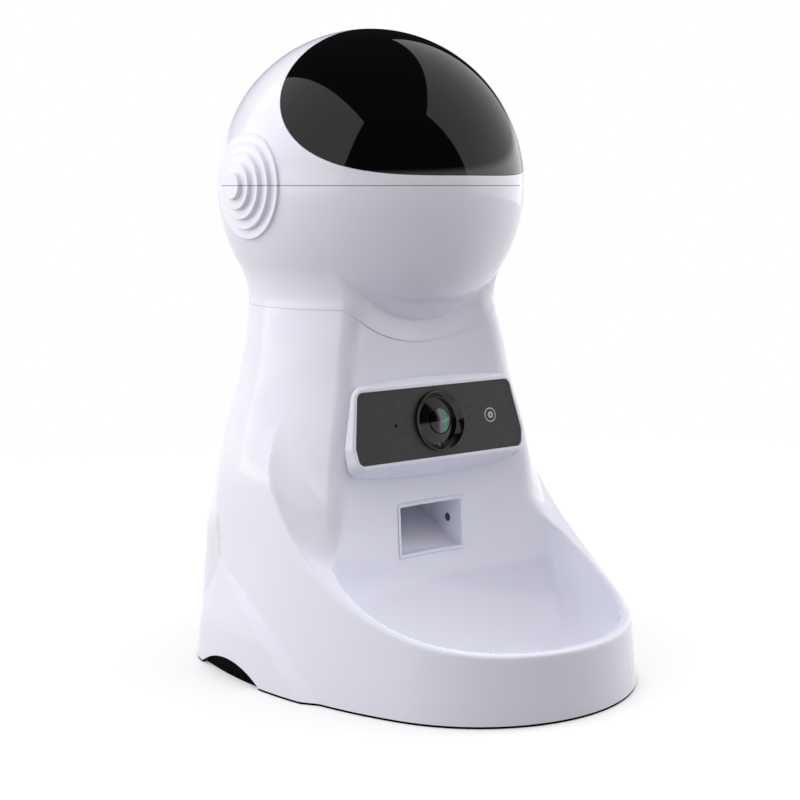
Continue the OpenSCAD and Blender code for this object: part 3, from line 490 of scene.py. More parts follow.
# the neck flares downwards: growing over flareH, fading over fadeH, then straight
column = {
    "neckR": 72.3,
    "neckZ": 207.0,
    "flareSlope": 0.31,
    "footSlope": 0.055,
    "flareH": 55.0,
    "fadeH": 71.5,
    "corner": 4.8,
    "cornerTop": 216.0,
    "cornerRise": 34.0,
    "cornerFull": 55.0,
    "cornerNone": 150.0,
}
# the neck's fillet touches the head's ball
neckDrop = headZ - column["neckZ"]
column["fillet"] = (column["neckR"] ** 2 + neckDrop**2 - headR**2) / (2 * (headR - column["neckR"]))
column["tangentZ"] = headZ - neckDrop * headR / (headR + column["fillet"])

face = {"r": 230.0, "y": 47.5, "tilt": math.radians(3.5), "floor": 5.0, "fillet": 55.0, "edge": 8.0}
foot = {
    "bowlY": -92.8,
    "frontR": 92.4,
    "halfW": 107.5,
    "widestY": -25.0,
    "cornerY": 17.0,
    "cornerR": 30.0,
    "lean": 0.097,
    "top": 165.0,
    "shoulder": 60.0,
    "swoopY": -183.2,
    "swoopZ": 229.5,
    "swoopR": 193.0,
    "edge": 2.0,
    "blend": 16.0,
    "root": 4.0,
}
# the foot's side is one arc that touches the front's arc and the rear corner's
frontRun = foot["widestY"] - foot["bowlY"]
sideGrow = foot["halfW"] - foot["frontR"]
sideX = (frontRun**2 - sideGrow**2) / (2 * sideGrow)
cornerRun = foot["cornerY"] - foot["widestY"]
foot["sideR"] = foot["halfW"] + sideX
foot["cornerX"] = math.sqrt((foot["sideR"] - foot["cornerR"]) ** 2 - cornerRun**2) - sideX
foot["frontEnd"] = math.degrees(math.atan2(sideX, frontRun))
foot["sideEnd"] = math.degrees(math.atan2(foot["cornerX"] + sideX, -cornerRun))

bowl = {"r": 82.3, "floor": 10.0, "fillet": 26.0, "draft": 0.09, "edge": 2.0, "faceEdge": 5.0}
# the heel's front edge: an arc from its toe to the kink, a line above, and a bevel that narrows upwards
heel = {
    "low": 0.8,
    "t": 4.2,
    "top": 97.0,
    "fade": 20.0,
    "toe": -86.2,
    "frontR": 346.0,
    "kinkY": 12.0,
    "kinkZ": 63.0,
    "topY": 23.0,
    "bevelZ": (0.0, 63.0, 69.0),
    "bevel": (6.2, 4.4, 1.5),
    "growY": 24.0,
    "growZ": 40.0,
    "rearFade": 10.0,
}


def columnRadius(z):
    c = column
    u = c["neckZ"] - z
    v = u - c["flareH"]
    up = np.clip(-u, 0, 0.99 * c["fillet"])  # stops short of the arc's end
    neck = c["neckR"] + c["fillet"] - np.sqrt(c["fillet"] ** 2 - up**2)
    grow = c["neckR"] + c["flareSlope"] * u**2 / (2 * c["flareH"])
    w = np.clip(v, 0, c["fadeH"])
    fade = c["neckR"] + c["flareSlope"] * (c["flareH"] / 2 + w)
    fade -= (c["flareSlope"] - c["footSlope"]) * w**2 / (2 * c["fadeH"])
    fade += c["footSlope"] * np.maximum(v - c["fadeH"], 0)
    return np.where(u <= 0, neck, np.where(v <= 0, grow, fade))


# the column is fuller at its two front corners
def columnField(p):
    c = column
    turn = np.degrees(np.arctan2(np.abs(p[:, 0]), -p[:, 1]))
    fuller = smooth((c["cornerNone"] - turn) / (c["cornerNone"] - c["cornerFull"]))
    fuller = c["corner"] * fuller * smooth((c["cornerTop"] - p[:, 2]) / c["cornerRise"])
    return np.hypot(p[:, 0], p[:, 1]) - columnRadius(p[:, 2]) - fuller


# the hollow front face, down to the bowl
def faceField(p):
    s, c = math.sin(face["tilt"]), math.cos(face["tilt"])
    y, z = p[:, 1] + face["y"], p[:, 2] - column["neckZ"]
    r = np.hypot(p[:, 0], y * c - z * s + face["r"])
    h = y * s + z * c
    a = r - face["r"] + face["fillet"]
    b = face["floor"] - column["neckZ"] + face["fillet"] - h
    return filleted(a, b, face["fillet"])


def bowlField(p):
    r = np.hypot(p[:, 0], p[:, 1] - foot["bowlY"])
    low = bowl["floor"] + bowl["fillet"]
    a = r - bowl["r"] + bowl["fillet"] - bowl["draft"] * np.maximum(p[:, 2] - low, 0)
    return filleted(a, low - p[:, 2], bowl["fillet"])


def footOutline(p):
    x, y = np.abs(p[:, 0]), p[:, 1]
    a = np.degrees(np.arctan2(x + sideX, foot["widestY"] - y))
    front = np.hypot(x, y - foot["bowlY"]) - foot["frontR"]
    side = np.hypot(x + sideX, y - foot["widestY"]) - foot["sideR"]
    corner = np.hypot(x - foot["cornerX"], y - foot["cornerY"]) - foot["cornerR"]
    back = y - foot["cornerY"] - foot["cornerR"]
    rear = np.where(x < foot["cornerX"], back, corner)
    return np.where(a < foot["frontEnd"], front, np.where(a < foot["sideEnd"], side, rear))


# how far the heel stands out
def heelRise(p):
    y, z = p[:, 1], p[:, 2]
    toe, kink = np.array([heel["toe"], 0.0]), np.array([heel["kinkY"], heel["kinkZ"]])
    chord = kink - toe
    size = np.linalg.norm(chord)
    inward = np.array([chord[1], -chord[0]]) / size
    centre = (toe + kink) / 2 + inward * math.sqrt(heel["frontR"] ** 2 - size**2 / 4)
    lower = heel["frontR"] - np.hypot(y - centre[0], z - centre[1])
    run, rise = heel["topY"] - heel["kinkY"], heel["top"] - heel["kinkZ"]
    upper = ((y - heel["kinkY"]) * rise - (z - heel["kinkZ"]) * run) / math.hypot(run, rise)
    ramp = np.clip(np.maximum(lower, upper) / np.interp(z, heel["bevelZ"], heel["bevel"]), 0, 1)
    ramp = ramp * smooth((heel["top"] - z) / heel["fade"])
    behind = smooth((y - heel["kinkY"]) / heel["growY"])
    below = smooth((heel["kinkZ"] - z) / heel["growZ"])
    return ramp * (heel["low"] + (heel["t"] - heel["low"]) * np.maximum(behind, below))


# the foot's side and the column, each with its share of the heel
def footSide(p, raised):
    return footOutline(p) + foot["lean"] * p[:, 2] - raised


def columnSide(p, raised):
    return columnField(p) - raised * np.clip(p[:, 1] / heel["rearFade"], 0, 1)


def bodyField(p):
    z = p[:, 2]
    raised = heelRise(p)
    side = roundMax(footSide(p, raised), z - foot["top"], foot["shoulder"])
    swoop = np.hypot(p[:, 1] - foot["swoopY"], z - foot["swoopZ"]) - foot["swoopR"]
    skirt = roundMax(side, -swoop, foot["edge"])
    hollow = faceField(p)
    trunk = roundMax(columnSide(p, raised), -hollow, face["edge"])
    # the skirt's cut edge runs into the column without filling past its own side
    whole = np.maximum(roundMin(skirt, trunk, foot["blend"]), roundMin(side, trunk, foot["root"]))
    return roundMax(whole, -roundMax(bowlField(p), hollow, bowl["faceEdge"]), bowl["edge"])


def ballField(p):
    return np.linalg.norm(p - headC, axis=1) - headR


def headField(p):
    neck = roundMax(columnField(p), -faceField(p), face["edge"])
    return np.minimum(ballField(p), np.maximum(neck, p[:, 2] - column["tangentZ"]))


# space above the neck seam, kept by the head and taken from the body
seam = {"z": 206.0, "r": 88.0, "depth": 20.0, "gap": 0.14}


def seamCutters(gap):
    flat = boxMesh((-far, -far, seam["z"] + gap), (far, far, far))
    bib = barMesh(seam["r"] - gap, headR, alongY(0, -seam["depth"] - headR, headZ), steps=256)
    return [flat, bib]


panel = {"h": 40.0, "topW": 55.5, "midW": 61.0, "bottomW": 59.5, "widest": -10.0, "t": 2.0, "corner": 4.0}
# the panel leans as the button travels, and stands where its CAD box says
pressAxis = joints["button_press"]["axis"]
panel["turn"] = math.atan2(pressAxis[1], -pressAxis[2])
panelLow = [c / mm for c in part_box("camera_panel")[0]]
panel["y"] = headY - panelLow[1] - panel["h"] / 2 * math.cos(panel["turn"])
panel["z"] = panelLow[2] + panel["h"] / 2 * math.sin(panel["turn"]) + panel["t"] * math.cos(panel["turn"])


# from the panel's own plane to the object's place, and back
def onPanel(q):
    c, s = math.cos(panel["turn"]), math.sin(panel["turn"])
    y = q[:, 1] * c - q[:, 2] * s - panel["y"]
    z = q[:, 1] * s + q[:, 2] * c + panel["z"]
    return np.stack((q[:, 0], y, z), 1)


def offPanel(p):
    c, s = math.cos(panel["turn"]), math.sin(panel["turn"])
    y, z = p[:, 1] + panel["y"], p[:, 2] - panel["z"]
    return np.stack((p[:, 0], y * c + z * s, -y * s + z * c), 1)


def panelCorners(grow):
    h = panel["h"] / 2
    sides = ((panel["bottomW"], -h - grow), (panel["midW"], panel["widest"]), (panel["topW"], h + grow))
    right = [(w + grow, v) for w, v in sides]
    return np.array(right + [(-x, y) for x, y in reversed(right)])


def panelOutline(grow, steps=6):
    corners = panelCorners(grow)
    r = panel["corner"] + grow / 2
    points = []
    for i in range(len(corners)):
        a, b, c = corners[i - 1], corners[i], corners[(i + 1) % len(corners)]
        u, v = (a - b) / np.linalg.norm(a - b), (c - b) / np.linalg.norm(c - b)
        half = math.acos(float(u @ v)) / 2
        centre = b + (u + v) / np.linalg.norm(u + v) * r / math.sin(half)
        start = b + u * r / math.tan(half) - centre
        for k in range(steps + 1):
            t = (math.pi - 2 * half) * k / steps
            c, s = math.cos(t), math.sin(t)
            points.append((centre[0] + start[0] * c - start[1] * s, centre[1] + start[0] * s + start[1] * c))
    return points


# distance to a straight-sided outline in the panel's plane, with its corners rounded by r
def outlineField(q, corners, r):
    n = len(corners)
    nearest = np.full(len(q), 1e9)
    inside = np.full(len(q), -1e9)
    for i in range(n):
        a, b = corners[i], corners[(i + 1) % n]
        e = b - a
        w = q[:, :2] - a
        t = np.clip((w @ e) / (e @ e), 0, 1)
        nearest = np.minimum(nearest, np.hypot(w[:, 0] - e[0] * t, w[:, 1] - e[1] * t))
        inside = np.maximum(inside, (w[:, 0] * e[1] - w[:, 1] * e[0]) / np.linalg.norm(e))
    return np.where(inside < 0, inside, nearest) - r


# body

bodyGrid = {"low": (-113, -188, -6), "high": (113, 105, 214), "flat": (-4, 213), "step": 1.65 * coarse}
bodyLining = {"low": (-113, -188, -11), "high": (113, 105, 219), "flat": (-10, 218), "step": 3.5}
chute = {
    "w": 44.6,
    "h": 26.6,
    "z": 65.8,
    "wall": 1.9,
    "fit": 0.15,
    "front": -36.0,
    "back": -18.1,
    "lip": -52.0,
    "mouth": -80.0,
    "run": 17.0,
    "flare": 3.0,
    "inlet": 150.0,
}
base = {"bottom": 1.3, "archL": 64.0, "archH": 8.9, "archY": 10.5}
board = {"w": 100.0, "h": 28.0, "depth": 24.0}
socket = {"x": -30.0, "z": 26.0, "d": 11.3}
grille = {"z": 66.0, "d": 2.4, "pitch": 6.0, "count": 5, "reach": 3.5, "sides": 24}


def ductOutline(grow):
    top = chute["z"] + chute["h"]
    return [
        (chute["front"] - grow, chute["inlet"]),
        (chute["front"] - grow, top + grow + chute["flare"]),
        (chute["mouth"], top + grow - chute["flare"]),
        (chute["mouth"], chute["z"] - grow - chute["flare"]),
        (chute["lip"], chute["z"] - grow),
        (chute["back"] + grow, chute["z"] - grow + chute["run"]),
        (chute["back"] + grow, chute["inlet"]),
    ]


# a grid of round bars with its corners left out
def grilleTree():
    tree = bpy.data.node_groups.new("grilleHoles", "GeometryNodeTree")
    kinds = {
        "Pitch": "NodeSocketFloat",
        "Count": "NodeSocketInt",
        "Diameter": "NodeSocketFloat",
        "Length": "NodeSocketFloat",
        "Reach": "NodeSocketFloat",
        "Sides": "NodeSocketInt",
        "Material": "NodeSocketMaterial",
    }
    for name, kind in kinds.items():
        tree.interface.new_socket(name, in_out="INPUT", socket_type=kind)
    tree.interface.new_socket("Geometry", in_out="OUTPUT", socket_type="NodeSocketGeometry")
    given = addNode(tree, "NodeGroupInput").outputs
    gaps = addNode(tree, "ShaderNodeMath", {0: given["Count"], 1: 1.0}, operation="SUBTRACT")
    size = addNode(tree, "ShaderNodeMath", {0: given["Pitch"], 1: gaps.outputs[0]}, operation="MULTIPLY")
    sizes = {"Size X": size.outputs[0], "Size Y": size.outputs[0]}
    counts = {"Vertices X": given["Count"], "Vertices Y": given["Count"]}
    grid = addNode(tree, "GeometryNodeMeshGrid", {**sizes, **counts})
    place = addNode(tree, "GeometryNodeInputPosition").outputs[0]
    spread = addNode(tree, "ShaderNodeVectorMath", {0: place}, operation="ABSOLUTE")
    total = addNode(
        tree, "ShaderNodeVectorMath", {0: spread.outputs[0], 1: (1, 1, 1)}, operation="DOT_PRODUCT"
    )
    limit = addNode(tree, "ShaderNodeMath", {0: given["Pitch"], 1: given["Reach"]}, operation="MULTIPLY")
    outside = addNode(
        tree, "ShaderNodeMath", {0: total.outputs["Value"], 1: limit.outputs[0]}, operation="GREATER_THAN"
    )
    points = addNode(
        tree,
        "GeometryNodeDeleteGeometry",
        {"Geometry": grid.outputs["Mesh"], "Selection": outside.outputs[0]},
        domain="POINT",
    )
    radius = addNode(tree, "ShaderNodeMath", {0: given["Diameter"], 1: 0.5}, operation="MULTIPLY")
    bar = addNode(
        tree,
        "GeometryNodeMeshCylinder",
        {"Vertices": given["Sides"], "Radius": radius.outputs[0], "Depth": given["Length"]},
    )
    bars = addNode(
        tree, "GeometryNodeInstanceOnPoints", {"Points": points.outputs[0], "Instance": bar.outputs["Mesh"]}
    )
    real = addNode(tree, "GeometryNodeRealizeInstances", {"Geometry": bars.outputs[0]})
    done = addNode(
        tree, "GeometryNodeSetMaterial", {"Geometry": real.outputs[0], "Material": given["Material"]}
    )
    addNode(tree, "NodeGroupOutput", {"Geometry": done.outputs[0]})
    return tree


def grilleHoles():
    obj = tempObject(bpy.data.meshes.new("grille"))
    step = obj.modifiers.new("grilleHoles", "NODES")
    step.node_group = grilleTree()
    values = {
        "Pitch": grille["pitch"] * mm,
        "Count": grille["count"],
        "Diameter": grille["d"] * mm,
        "Length": far * mm,
        "Reach": grille["reach"],
        "Sides": grille["sides"],
        "Material": whiteAbs,
    }
    for item in step.node_group.interface.items_tree:
        if item.in_out == "INPUT":
            step[item.identifier] = values[item.name]
    made = finalMesh(obj)
    obj.modifiers.remove(step)
    bpy.data.objects.remove(obj)
    place = toFrame([(0, far / 2, grille["z"])])[0]
    made.transform(Matrix.Translation(Vector(place)) @ Matrix.Rotation(math.radians(-90), 4, "X"))
    made.materials.clear()
    return made


def makeBody():
    outer = skin(between(bodyField, *bodyGrid["flat"]), bodyGrid)
    inside = between(lambda p: bodyField(p) + shellWall, *bodyLining["flat"])
    archR = (base["archL"] ** 2 / 4 + base["archH"] ** 2) / (2 * base["archH"])
    archZ = base["bottom"] + base["archH"] - archR
    duct = chute["wall"] + chute["fit"]
    ductW = chute["w"] / 2 + duct
    w, h = board["w"] / 2, board["h"] / 2
    cutters = [
        skin(inside, bodyLining, relax=2),
        boxMesh((-far, -far, -far), (far, far, base["bottom"])),
        barMesh(archR, far, alongX(-far / 2, -base["archY"], archZ), steps=256),
        prismMesh(ductOutline(duct), -ductW, ductW, sideways),
        prismMesh([(-w, -h), (w, -h), (w, h), (-w, h)], -board["depth"], board["depth"], onPanel),
        barMesh(socket["d"] / 2, far, alongY(socket["x"], 0, socket["z"])),
    ]
    mesh = carve(outer, cutters + seamCutters(-seam["gap"]) + [grilleHoles()])
    piece("bodyShell", mesh, whiteAbs, "base", ["body_shell"])
    trueNormals(mesh, bodyField)
    print("stage: body", len(mesh.polygons))


makeBody()

# black edge at the floor, partly the base plate's own black and partly painted contact shadow, and black walls of
# painted shade behind the finger arches

edge = {"inset": 0.25, "t": 2.0, "low": 0.1, "high": 1.28, "archGap": 0.5, "steps": 720}
# a black wall behind each finger arch: a sheet of painted shade for the dark inside of the arch
archShadeWall = {"inset": -0.8, "t": 1.5, "low": 0.15, "lap": 2.0, "over": 1.5, "steps": 24}
plate = {"inset": 0.4, "top": 3.2, "merge": 0.001, "steps": 360}
loop = {"y": -50.0, "near": 20.0, "far": 180.0, "rounds": 40}


# points round the body at a height, this far inside its side, found by halving along rays
def footLoop(steps, inset, height):
    turns = np.linspace(-math.pi, math.pi, steps, endpoint=False)
    near, away = np.full(steps, loop["near"]), np.full(steps, loop["far"])
    for _ in range(loop["rounds"]):
        r = (near + away) / 2
        p = np.stack((r * np.sin(turns), loop["y"] - r * np.cos(turns), np.full(steps, height)), 1)
        raised = heelRise(p)
        out = np.minimum(footSide(p, raised), columnSide(p, raised)) + inset > 0
        near, away = np.where(out, near, r), np.where(out, r, away)
    return [(x, y) for x, y, _ in p]


# points along the foot's side arc at the finger arch
def archLine(inset, reach):
    y = np.linspace(-base["archY"] - reach, -base["archY"] + reach, archShadeWall["steps"])
    x = np.sqrt((foot["sideR"] - inset) ** 2 - (y - foot["widestY"]) ** 2) - sideX
    return list(zip(x, y))


# strips under the shell, partly painted contact shadow, left open at the finger arches, and a wall of painted
# shade behind each arch
def makeEdgeAndArchShade():
    strips = []
    half = base["archL"] / 2 - edge["archGap"]
    steps = edge["steps"]
    outer = footLoop(steps, edge["inset"], edge["high"])
    inner = footLoop(steps, edge["inset"] + edge["t"], edge["high"])
    clear = [abs(y + base["archY"]) > half for _, y in outer]
    for start in range(steps):
        if clear[start - 1] or not clear[start]:
            continue
        run = [start]
        while clear[(run[-1] + 1) % steps]:
            run.append((run[-1] + 1) % steps)
        outline = [outer[i] for i in run] + [inner[i] for i in reversed(run)]
        strips.append(prismMesh(outline, edge["low"], edge["high"], upright))
    # the walls stand where there is only shade inside the arch
    reach = half + archShadeWall["lap"]
    wall = archLine(archShadeWall["inset"], reach) + archLine(archShadeWall["inset"] + archShadeWall["t"], reach)[::-1]
    high = base["bottom"] + base["archH"] + archShadeWall["over"]
    right = prismMesh(wall, archShadeWall["low"], high, upright)
    mesh = joined(strips + [right, flipX(right.copy())])
    piece("edgeAndArchShade", mesh, edgeAndShadeBlack, "base", [])
    print("stage: foot edge", len(mesh.polygons))


# the base plate, trimmed at its corners where the heel's bevel comes in
def makeBasePlate():
    bm = bmesh.new()
    bm.from_mesh(cadNodes["base_plate"].data)
    bmesh.ops.remove_doubles(bm, verts=bm.verts, dist=plate["merge"] * mm)
    whole = bpy.data.meshes.new("plate")
    bm.to_mesh(whole)
    bm.free()
    outline = footLoop(plate["steps"], plate["inset"], plate["top"])
    mesh = carve(whole, [prismMesh(outline, -far, far, upright)], "INTERSECT")
    piece("basePlate", mesh, blackPlastic, "base", ["base_plate"])
    print("stage: base plate", len(mesh.polygons))


makeEdgeAndArchShade()
makeBasePlate()

rim = {
    "w": 24.2,
    "low": 63.4,
    "high": 94.4,
    "corner": 3.0,
    "inner": 1.9,
    "proud": 0.5,
    "edge": 0.35,
    "off": 0.03,
}
rimGrid = {"low": (-25, -61, 62), "high": (25, -51, 96), "step": 0.42 * coarse}


# raised frame round the chute's outlet
def rimField(p):
    middle, half = (rim["low"] + rim["high"]) / 2, (rim["high"] - rim["low"]) / 2
    x, z = p[:, 0], p[:, 2] - middle
    outline = roundedBox(x, z, rim["w"], half, rim["corner"])
    inside = roundedBox(x, z, rim["w"] - rim["inner"], half - rim["inner"], rim["edge"])
    hollow = faceField(p)
    border = roundMax(np.maximum(outline, -inside), -hollow - rim["proud"], rim["edge"])
    return np.maximum(border, hollow + rim["off"])


def makeRim():
    mesh = skin(rimField, rimGrid, relax=2)
    piece("chuteRim", mesh, whiteAbs, "base", [])
    trueNormals(mesh, rimField)
    print("stage: chute rim", len(mesh.polygons))


makeRim()

# head and lid

ear = {
    "r": 29.7,
    "steps": 5,
    "pitch": 5.5,
    "rise": 2.7,
    "first": 1.8,
    "edge": 0.45,
    "root": 0.25,
    "facets": 4,
    "inner": 70.0,
}
knuckle = {"r": 5.0, "l": 30.0, "side": 11.0, "gap": 0.4, "pin": 2.0, "fit": 0.06, "root": 8.0, "clear": 1.0}
visor = {"y": -89.1, "z": 90.0, "r": 84.3, "gap": 0.3}
# the seal laps over the parting line from inside
seal = {"w": 2.0, "gap": 0.2, "h": 3.3, "lap": 2.5}
headGrid = {"low": (-91, -91, 177), "high": (91, 91, 281), "flat": (178, 280), "step": 1.5 * coarse}
headLining = {"low": (-91, -91, 171), "high": (91, 91, 287), "flat": (172, 286), "step": 3.0}
ballLevel = 7
innerLevel = 6


# stepped rings, each with a rounded edge and a small fillet at its root
def earProfile():
    profile = [(0, ear["inner"]), (ear["r"], ear["inner"])]
    root, e = ear["root"], ear["edge"]
    x = math.sqrt(headR**2 - ear["r"] ** 2) + ear["first"]
    for i in range(ear["steps"]):
        r = ear["r"] - i * ear["pitch"]
        if i:
            profile += arcPoints(r + root, x + root, root, 270, 180, ear["facets"])
            x += ear["rise"]
        profile += arcPoints(r - e, x - e, e, 0, 90, ear["facets"])
    return profile + [(0, x)]


# the half of the space above (1) or below (-1) the parting line
def halfBox(side):
    z = headZ + side * partingGap / 2
    if side > 0:
        return boxMesh((-far, -far, z), (far, far, far))
    return boxMesh((-far, -far, -far), (far, far, z))


def ears(side):
    whole = turnedMesh(earProfile(), alongX(0, 0, headZ), steps=160)
    outside = carve(whole, [ballMesh(headR - shellWall / 2, innerLevel)])
    right = carve(outside, [halfBox(side)], "INTERSECT")
    return [right, flipX(right.copy())]


def knuckleMesh(start, l, side, bore):
    profile = [(bore, 0), (knuckle["r"], 0), (knuckle["r"], l), (bore, l)]
    barrel = turnedMesh(profile, alongX(start, hingeY, headZ), steps=48)
    low = (start, headR - knuckle["root"], headZ - knuckle["r"])
    web = boxMesh(low, (start + l, hingeY, headZ + knuckle["r"]))
    pinRoom = barMesh(bore + knuckle["clear"], far, alongX(-far / 2, hingeY, headZ))
    web = carve(web, [ballMesh(headR - shellWall / 2, innerLevel), pinRoom])
    return [barrel, carve(web, [halfBox(side)], "INTERSECT")]


def visorBar(grow):
    return barMesh(visor["r"] + grow, far, alongX(-far / 2, visor["y"], headZ + visor["z"]), steps=512)


def hollowBall():
    return carve(ballMesh(headR, ballLevel), [ballMesh(headR - shellWall, innerLevel)])


def makeLid():
    shell = carve(hollowBall(), [visorBar(visor["gap"])])
    shell = carve(shell, [halfBox(1)], "INTERSECT")
    hinge = knuckleMesh(-knuckle["l"] / 2, knuckle["l"], 1, knuckle["pin"] + knuckle["fit"])
    mesh = joined([shell] + ears(1) + hinge)
    piece("lidShell", mesh, whiteAbs, "lid", ["lid_shell"])
    trueNormals(mesh, ballField)
    window = carve(hollowBall(), [visorBar(0.0)], "INTERSECT")
    piece("visorWindow", window, smoked, "lid", ["visor_window"])
    trueNormals(window, ballField)
    print("stage: lid", len(mesh.polygons), len(window.polygons))


def makeSeal():
    outer = headR - shellWall - seal["gap"]
    inner = outer - seal["w"]
    profile = [(inner, -seal["lap"]), (outer, -seal["lap"]), (outer, seal["h"]), (inner, seal["h"])]
    mesh = turnedMesh(profile, lambda q: q + headC, steps=192)
    piece("lidSeal", mesh, rubber, "lid", ["lid_seal"])
    print("stage: seal", len(mesh.polygons))


def makeHead():
    outer = skin(between(headField, *headGrid["flat"]), headGrid)
    inside = between(lambda p: headField(p) + shellWall, *headLining["flat"])
    shell = carve(outer, [skin(inside, headLining, relax=2)])
    flat, bib = seamCutters(0.0)
    shell = carve(shell, [halfBox(-1), carve(flat, [bib], "UNION")], "INTERSECT")
    start = knuckle["l"] / 2 + knuckle["gap"]
    hinge = knuckleMesh(start, knuckle["side"], -1, knuckle["pin"])
    hinge += knuckleMesh(-start - knuckle["side"], knuckle["side"], -1, knuckle["pin"])
    mesh = joined([shell] + ears(-1) + hinge)
    piece("headShell", mesh, whiteAbs, "base", ["head_shell"])
    trueNormals(mesh, headField)
    print("stage: head", len(mesh.polygons))


makeLid()
makeSeal()
makeHead()

# camera group

bezel = {
    "w": 2.2,
    "flare": math.radians(25),
    "lip": 0.6,
    "edge": 0.7,
    "seat": 2.0,
    "gap": 0.2,
    "fit": 0.15,
    "root": 0.4,
}
bezelGrid = {"low": (-75, -80, 105), "high": (75, -46, 178), "step": 0.9 * coarse}


def bezelField(p):
    q = offPanel(p)
    r = panel["corner"]
    outline = outlineField(q, panelCorners(-r), r) - bezel["w"]
    flank = (outline + (q[:, 2] - bezel["lip"]) * math.tan(bezel["flare"])) * math.cos(bezel["flare"])
    return roundMax(flank, q[:, 2] - bezel["lip"], bezel["edge"])


def makeBezel():
    mesh = skin(lambda p: np.maximum(bezelField(p), faceField(p) - bezel["root"]), bezelGrid)
    seat = prismMesh(panelOutline(bezel["fit"]), -panel["t"] - bezel["gap"], far, onPanel)
    through = prismMesh(panelOutline(-bezel["seat"]), -far, far, onPanel)
    mesh = carve(mesh, [seat, through])
    piece("cameraBezel", mesh, whiteAbs, "base", ["camera_bezel"])
    trueNormals(mesh, bezelField)
    print("stage: bezel", len(mesh.polygons))


makeBezel()

# the ring's cup falls to a valley and rises to the throat, each turn slightly blunted
ring = {
    "r": 17.5,
    "h": 2.0,
    "edge": 0.6,
    "edgeTurn": 135,
    "facets": 5,
    "seat": 5.0,
    "seatR": 16.5,
    "valleyR": 13.65,
    "valley": 3.6,
    "valleyBlunt": ((0.25, 0.12), (-0.2, 0.02)),
    "throat": 7.4,
    "throatBlunt": ((0.5, -0.05), (0.0, -0.3)),
}
lens = {"r": 7.0, "depth": 1.4, "t": 3.0, "bulge": 1.2, "steps": 16}
eye = {"r": 1.3, "deep": 2.0, "l": 20.0}


def makeRing():
    r, h, e = ring["r"], ring["h"], ring["edge"]
    deep = h - ring["valley"]
    plane = h - lens["depth"]
    profile = [(ring["throat"], -ring["seat"]), (ring["seatR"], -ring["seat"]), (ring["seatR"], 0), (r, 0)]
    profile += arcPoints(r - e, h - e, e, 0, ring["edgeTurn"], ring["facets"])
    profile += [(ring["valleyR"] + u, deep + v) for u, v in ring["valleyBlunt"]]
    profile += [(ring["throat"] + u, plane + v) for u, v in ring["throatBlunt"]]
    mesh = turnedMesh(profile, onPanel, steps=192)
    eyeAt = np.array([0, -ring["valleyR"], deep - eye["deep"]])
    mesh = carve(mesh, [barMesh(eye["r"], eye["l"], lambda q: onPanel(q + eyeAt), steps=32)])
    piece("lensRing", mesh, blackAbs, "base", ["lens_ring"], angle=25)


def makeLens():
    plane = ring["h"] - lens["depth"]
    big = (lens["r"] ** 2 + lens["bulge"] ** 2) / (2 * lens["bulge"])
    middle = plane + lens["bulge"] - big
    profile = [(0, plane - lens["t"]), (lens["r"], plane - lens["t"])]
    for k in range(lens["steps"] + 1):
        a = math.asin(lens["r"] / big) * (1 - k / lens["steps"])
        profile.append((big * math.sin(a), middle + big * math.cos(a)))
    mesh = turnedMesh(profile, onPanel, steps=96)
    # the glass carries the painted reflection
    piece("lensGlass", mesh, lensPaintedReflection, "base", ["lens_glass"], angle=35)
    print("stage: lens")


makeRing()
makeLens()

mark = {"x": 38.4, "teeth": 8, "tip": 2.1, "root": 1.55, "hole": 0.75, "low": 0.41, "high": 0.47}
# where a tooth's four corners lie, as shares of the pitch
toothCorners = ((-0.32, "root"), (-0.2, "tip"), (0.2, "tip"), (0.32, "root"))


def onButton(q):
    return onPanel(q + np.array([mark["x"], 0, 0]))


# small cog printed on the button
def makeMark():
    outline = []
    for i in range(mark["teeth"]):
        for share, r in toothCorners:
            a = 2 * math.pi * (i + share) / mark["teeth"]
            outline.append((mark[r] * math.cos(a), mark[r] * math.sin(a)))
    mesh = prismMesh(outline, mark["low"], mark["high"], onButton)
    mesh = carve(mesh, [barMesh(mark["hole"], 2 * mark["high"], onButton, steps=32)])
    piece("buttonMark", mesh, silver, "button", [])
    print("stage: button mark")


makeMark()

# CAD nodes that stay get the same finishes

slotFinish = {
    "white_abs": whiteAbs,
    "smoked_acrylic": smoked,
    "gloss_black_abs": blackAbs,
    "panel_plastic": panelSatin,
    # the lens glass takes the finish with the painted reflection
    "coated_glass": lensPaintedReflection,
    "black_plastic": blackPlastic,
    "black_rubber": rubber,
    "natural_nylon": nylon,
    "soft_vane_rubber": vaneRubber,
    "steel": steel,
    "silver_plastic": silver,
    "circuit_board": boardGreen,
}
nodeFinish = {"chute_sensors": sensorGrey}
for part in frame["record"]["subparts"]:
    for materialSlot in cadNodes[part["node"]].material_slots:
        materialSlot.material = nodeFinish.get(part["node"], slotFinish[part["material_slot"]])
print("stage: finishes")

# camera, light and floor

shot = {
    "at": (-570.48, -747.72, 274.0),
    "turn": math.radians(38.38),
    "pitch": math.radians(7.708),
    "lens": 71.28,
    "sensor": 36.0,
    "clip": (0.05, 20.0),  # metres
}


def makeCamera():
    data = bpy.data.cameras.new("photoCamera")
    data.sensor_width = shot["sensor"]
    data.lens = shot["lens"]
    data.clip_start, data.clip_end = shot["clip"]
    obj = bpy.data.objects.new("photoCamera", data)
    a, b = shot["turn"], shot["pitch"]
    forward = Vector((math.sin(a) * math.cos(b), math.cos(a) * math.cos(b), -math.sin(b)))
    right = Vector((math.cos(a), -math.sin(a), 0))
    up = right.cross(forward)
    turn = Matrix((right, up, -forward)).transposed().to_4x4()
    place = Vector(toFrame([shot["at"]])[0])
    obj.matrix_world = Matrix.Translation(place) @ turn
    bpy.context.scene.collection.objects.link(obj)
    bpy.context.scene.camera = obj


makeCamera()

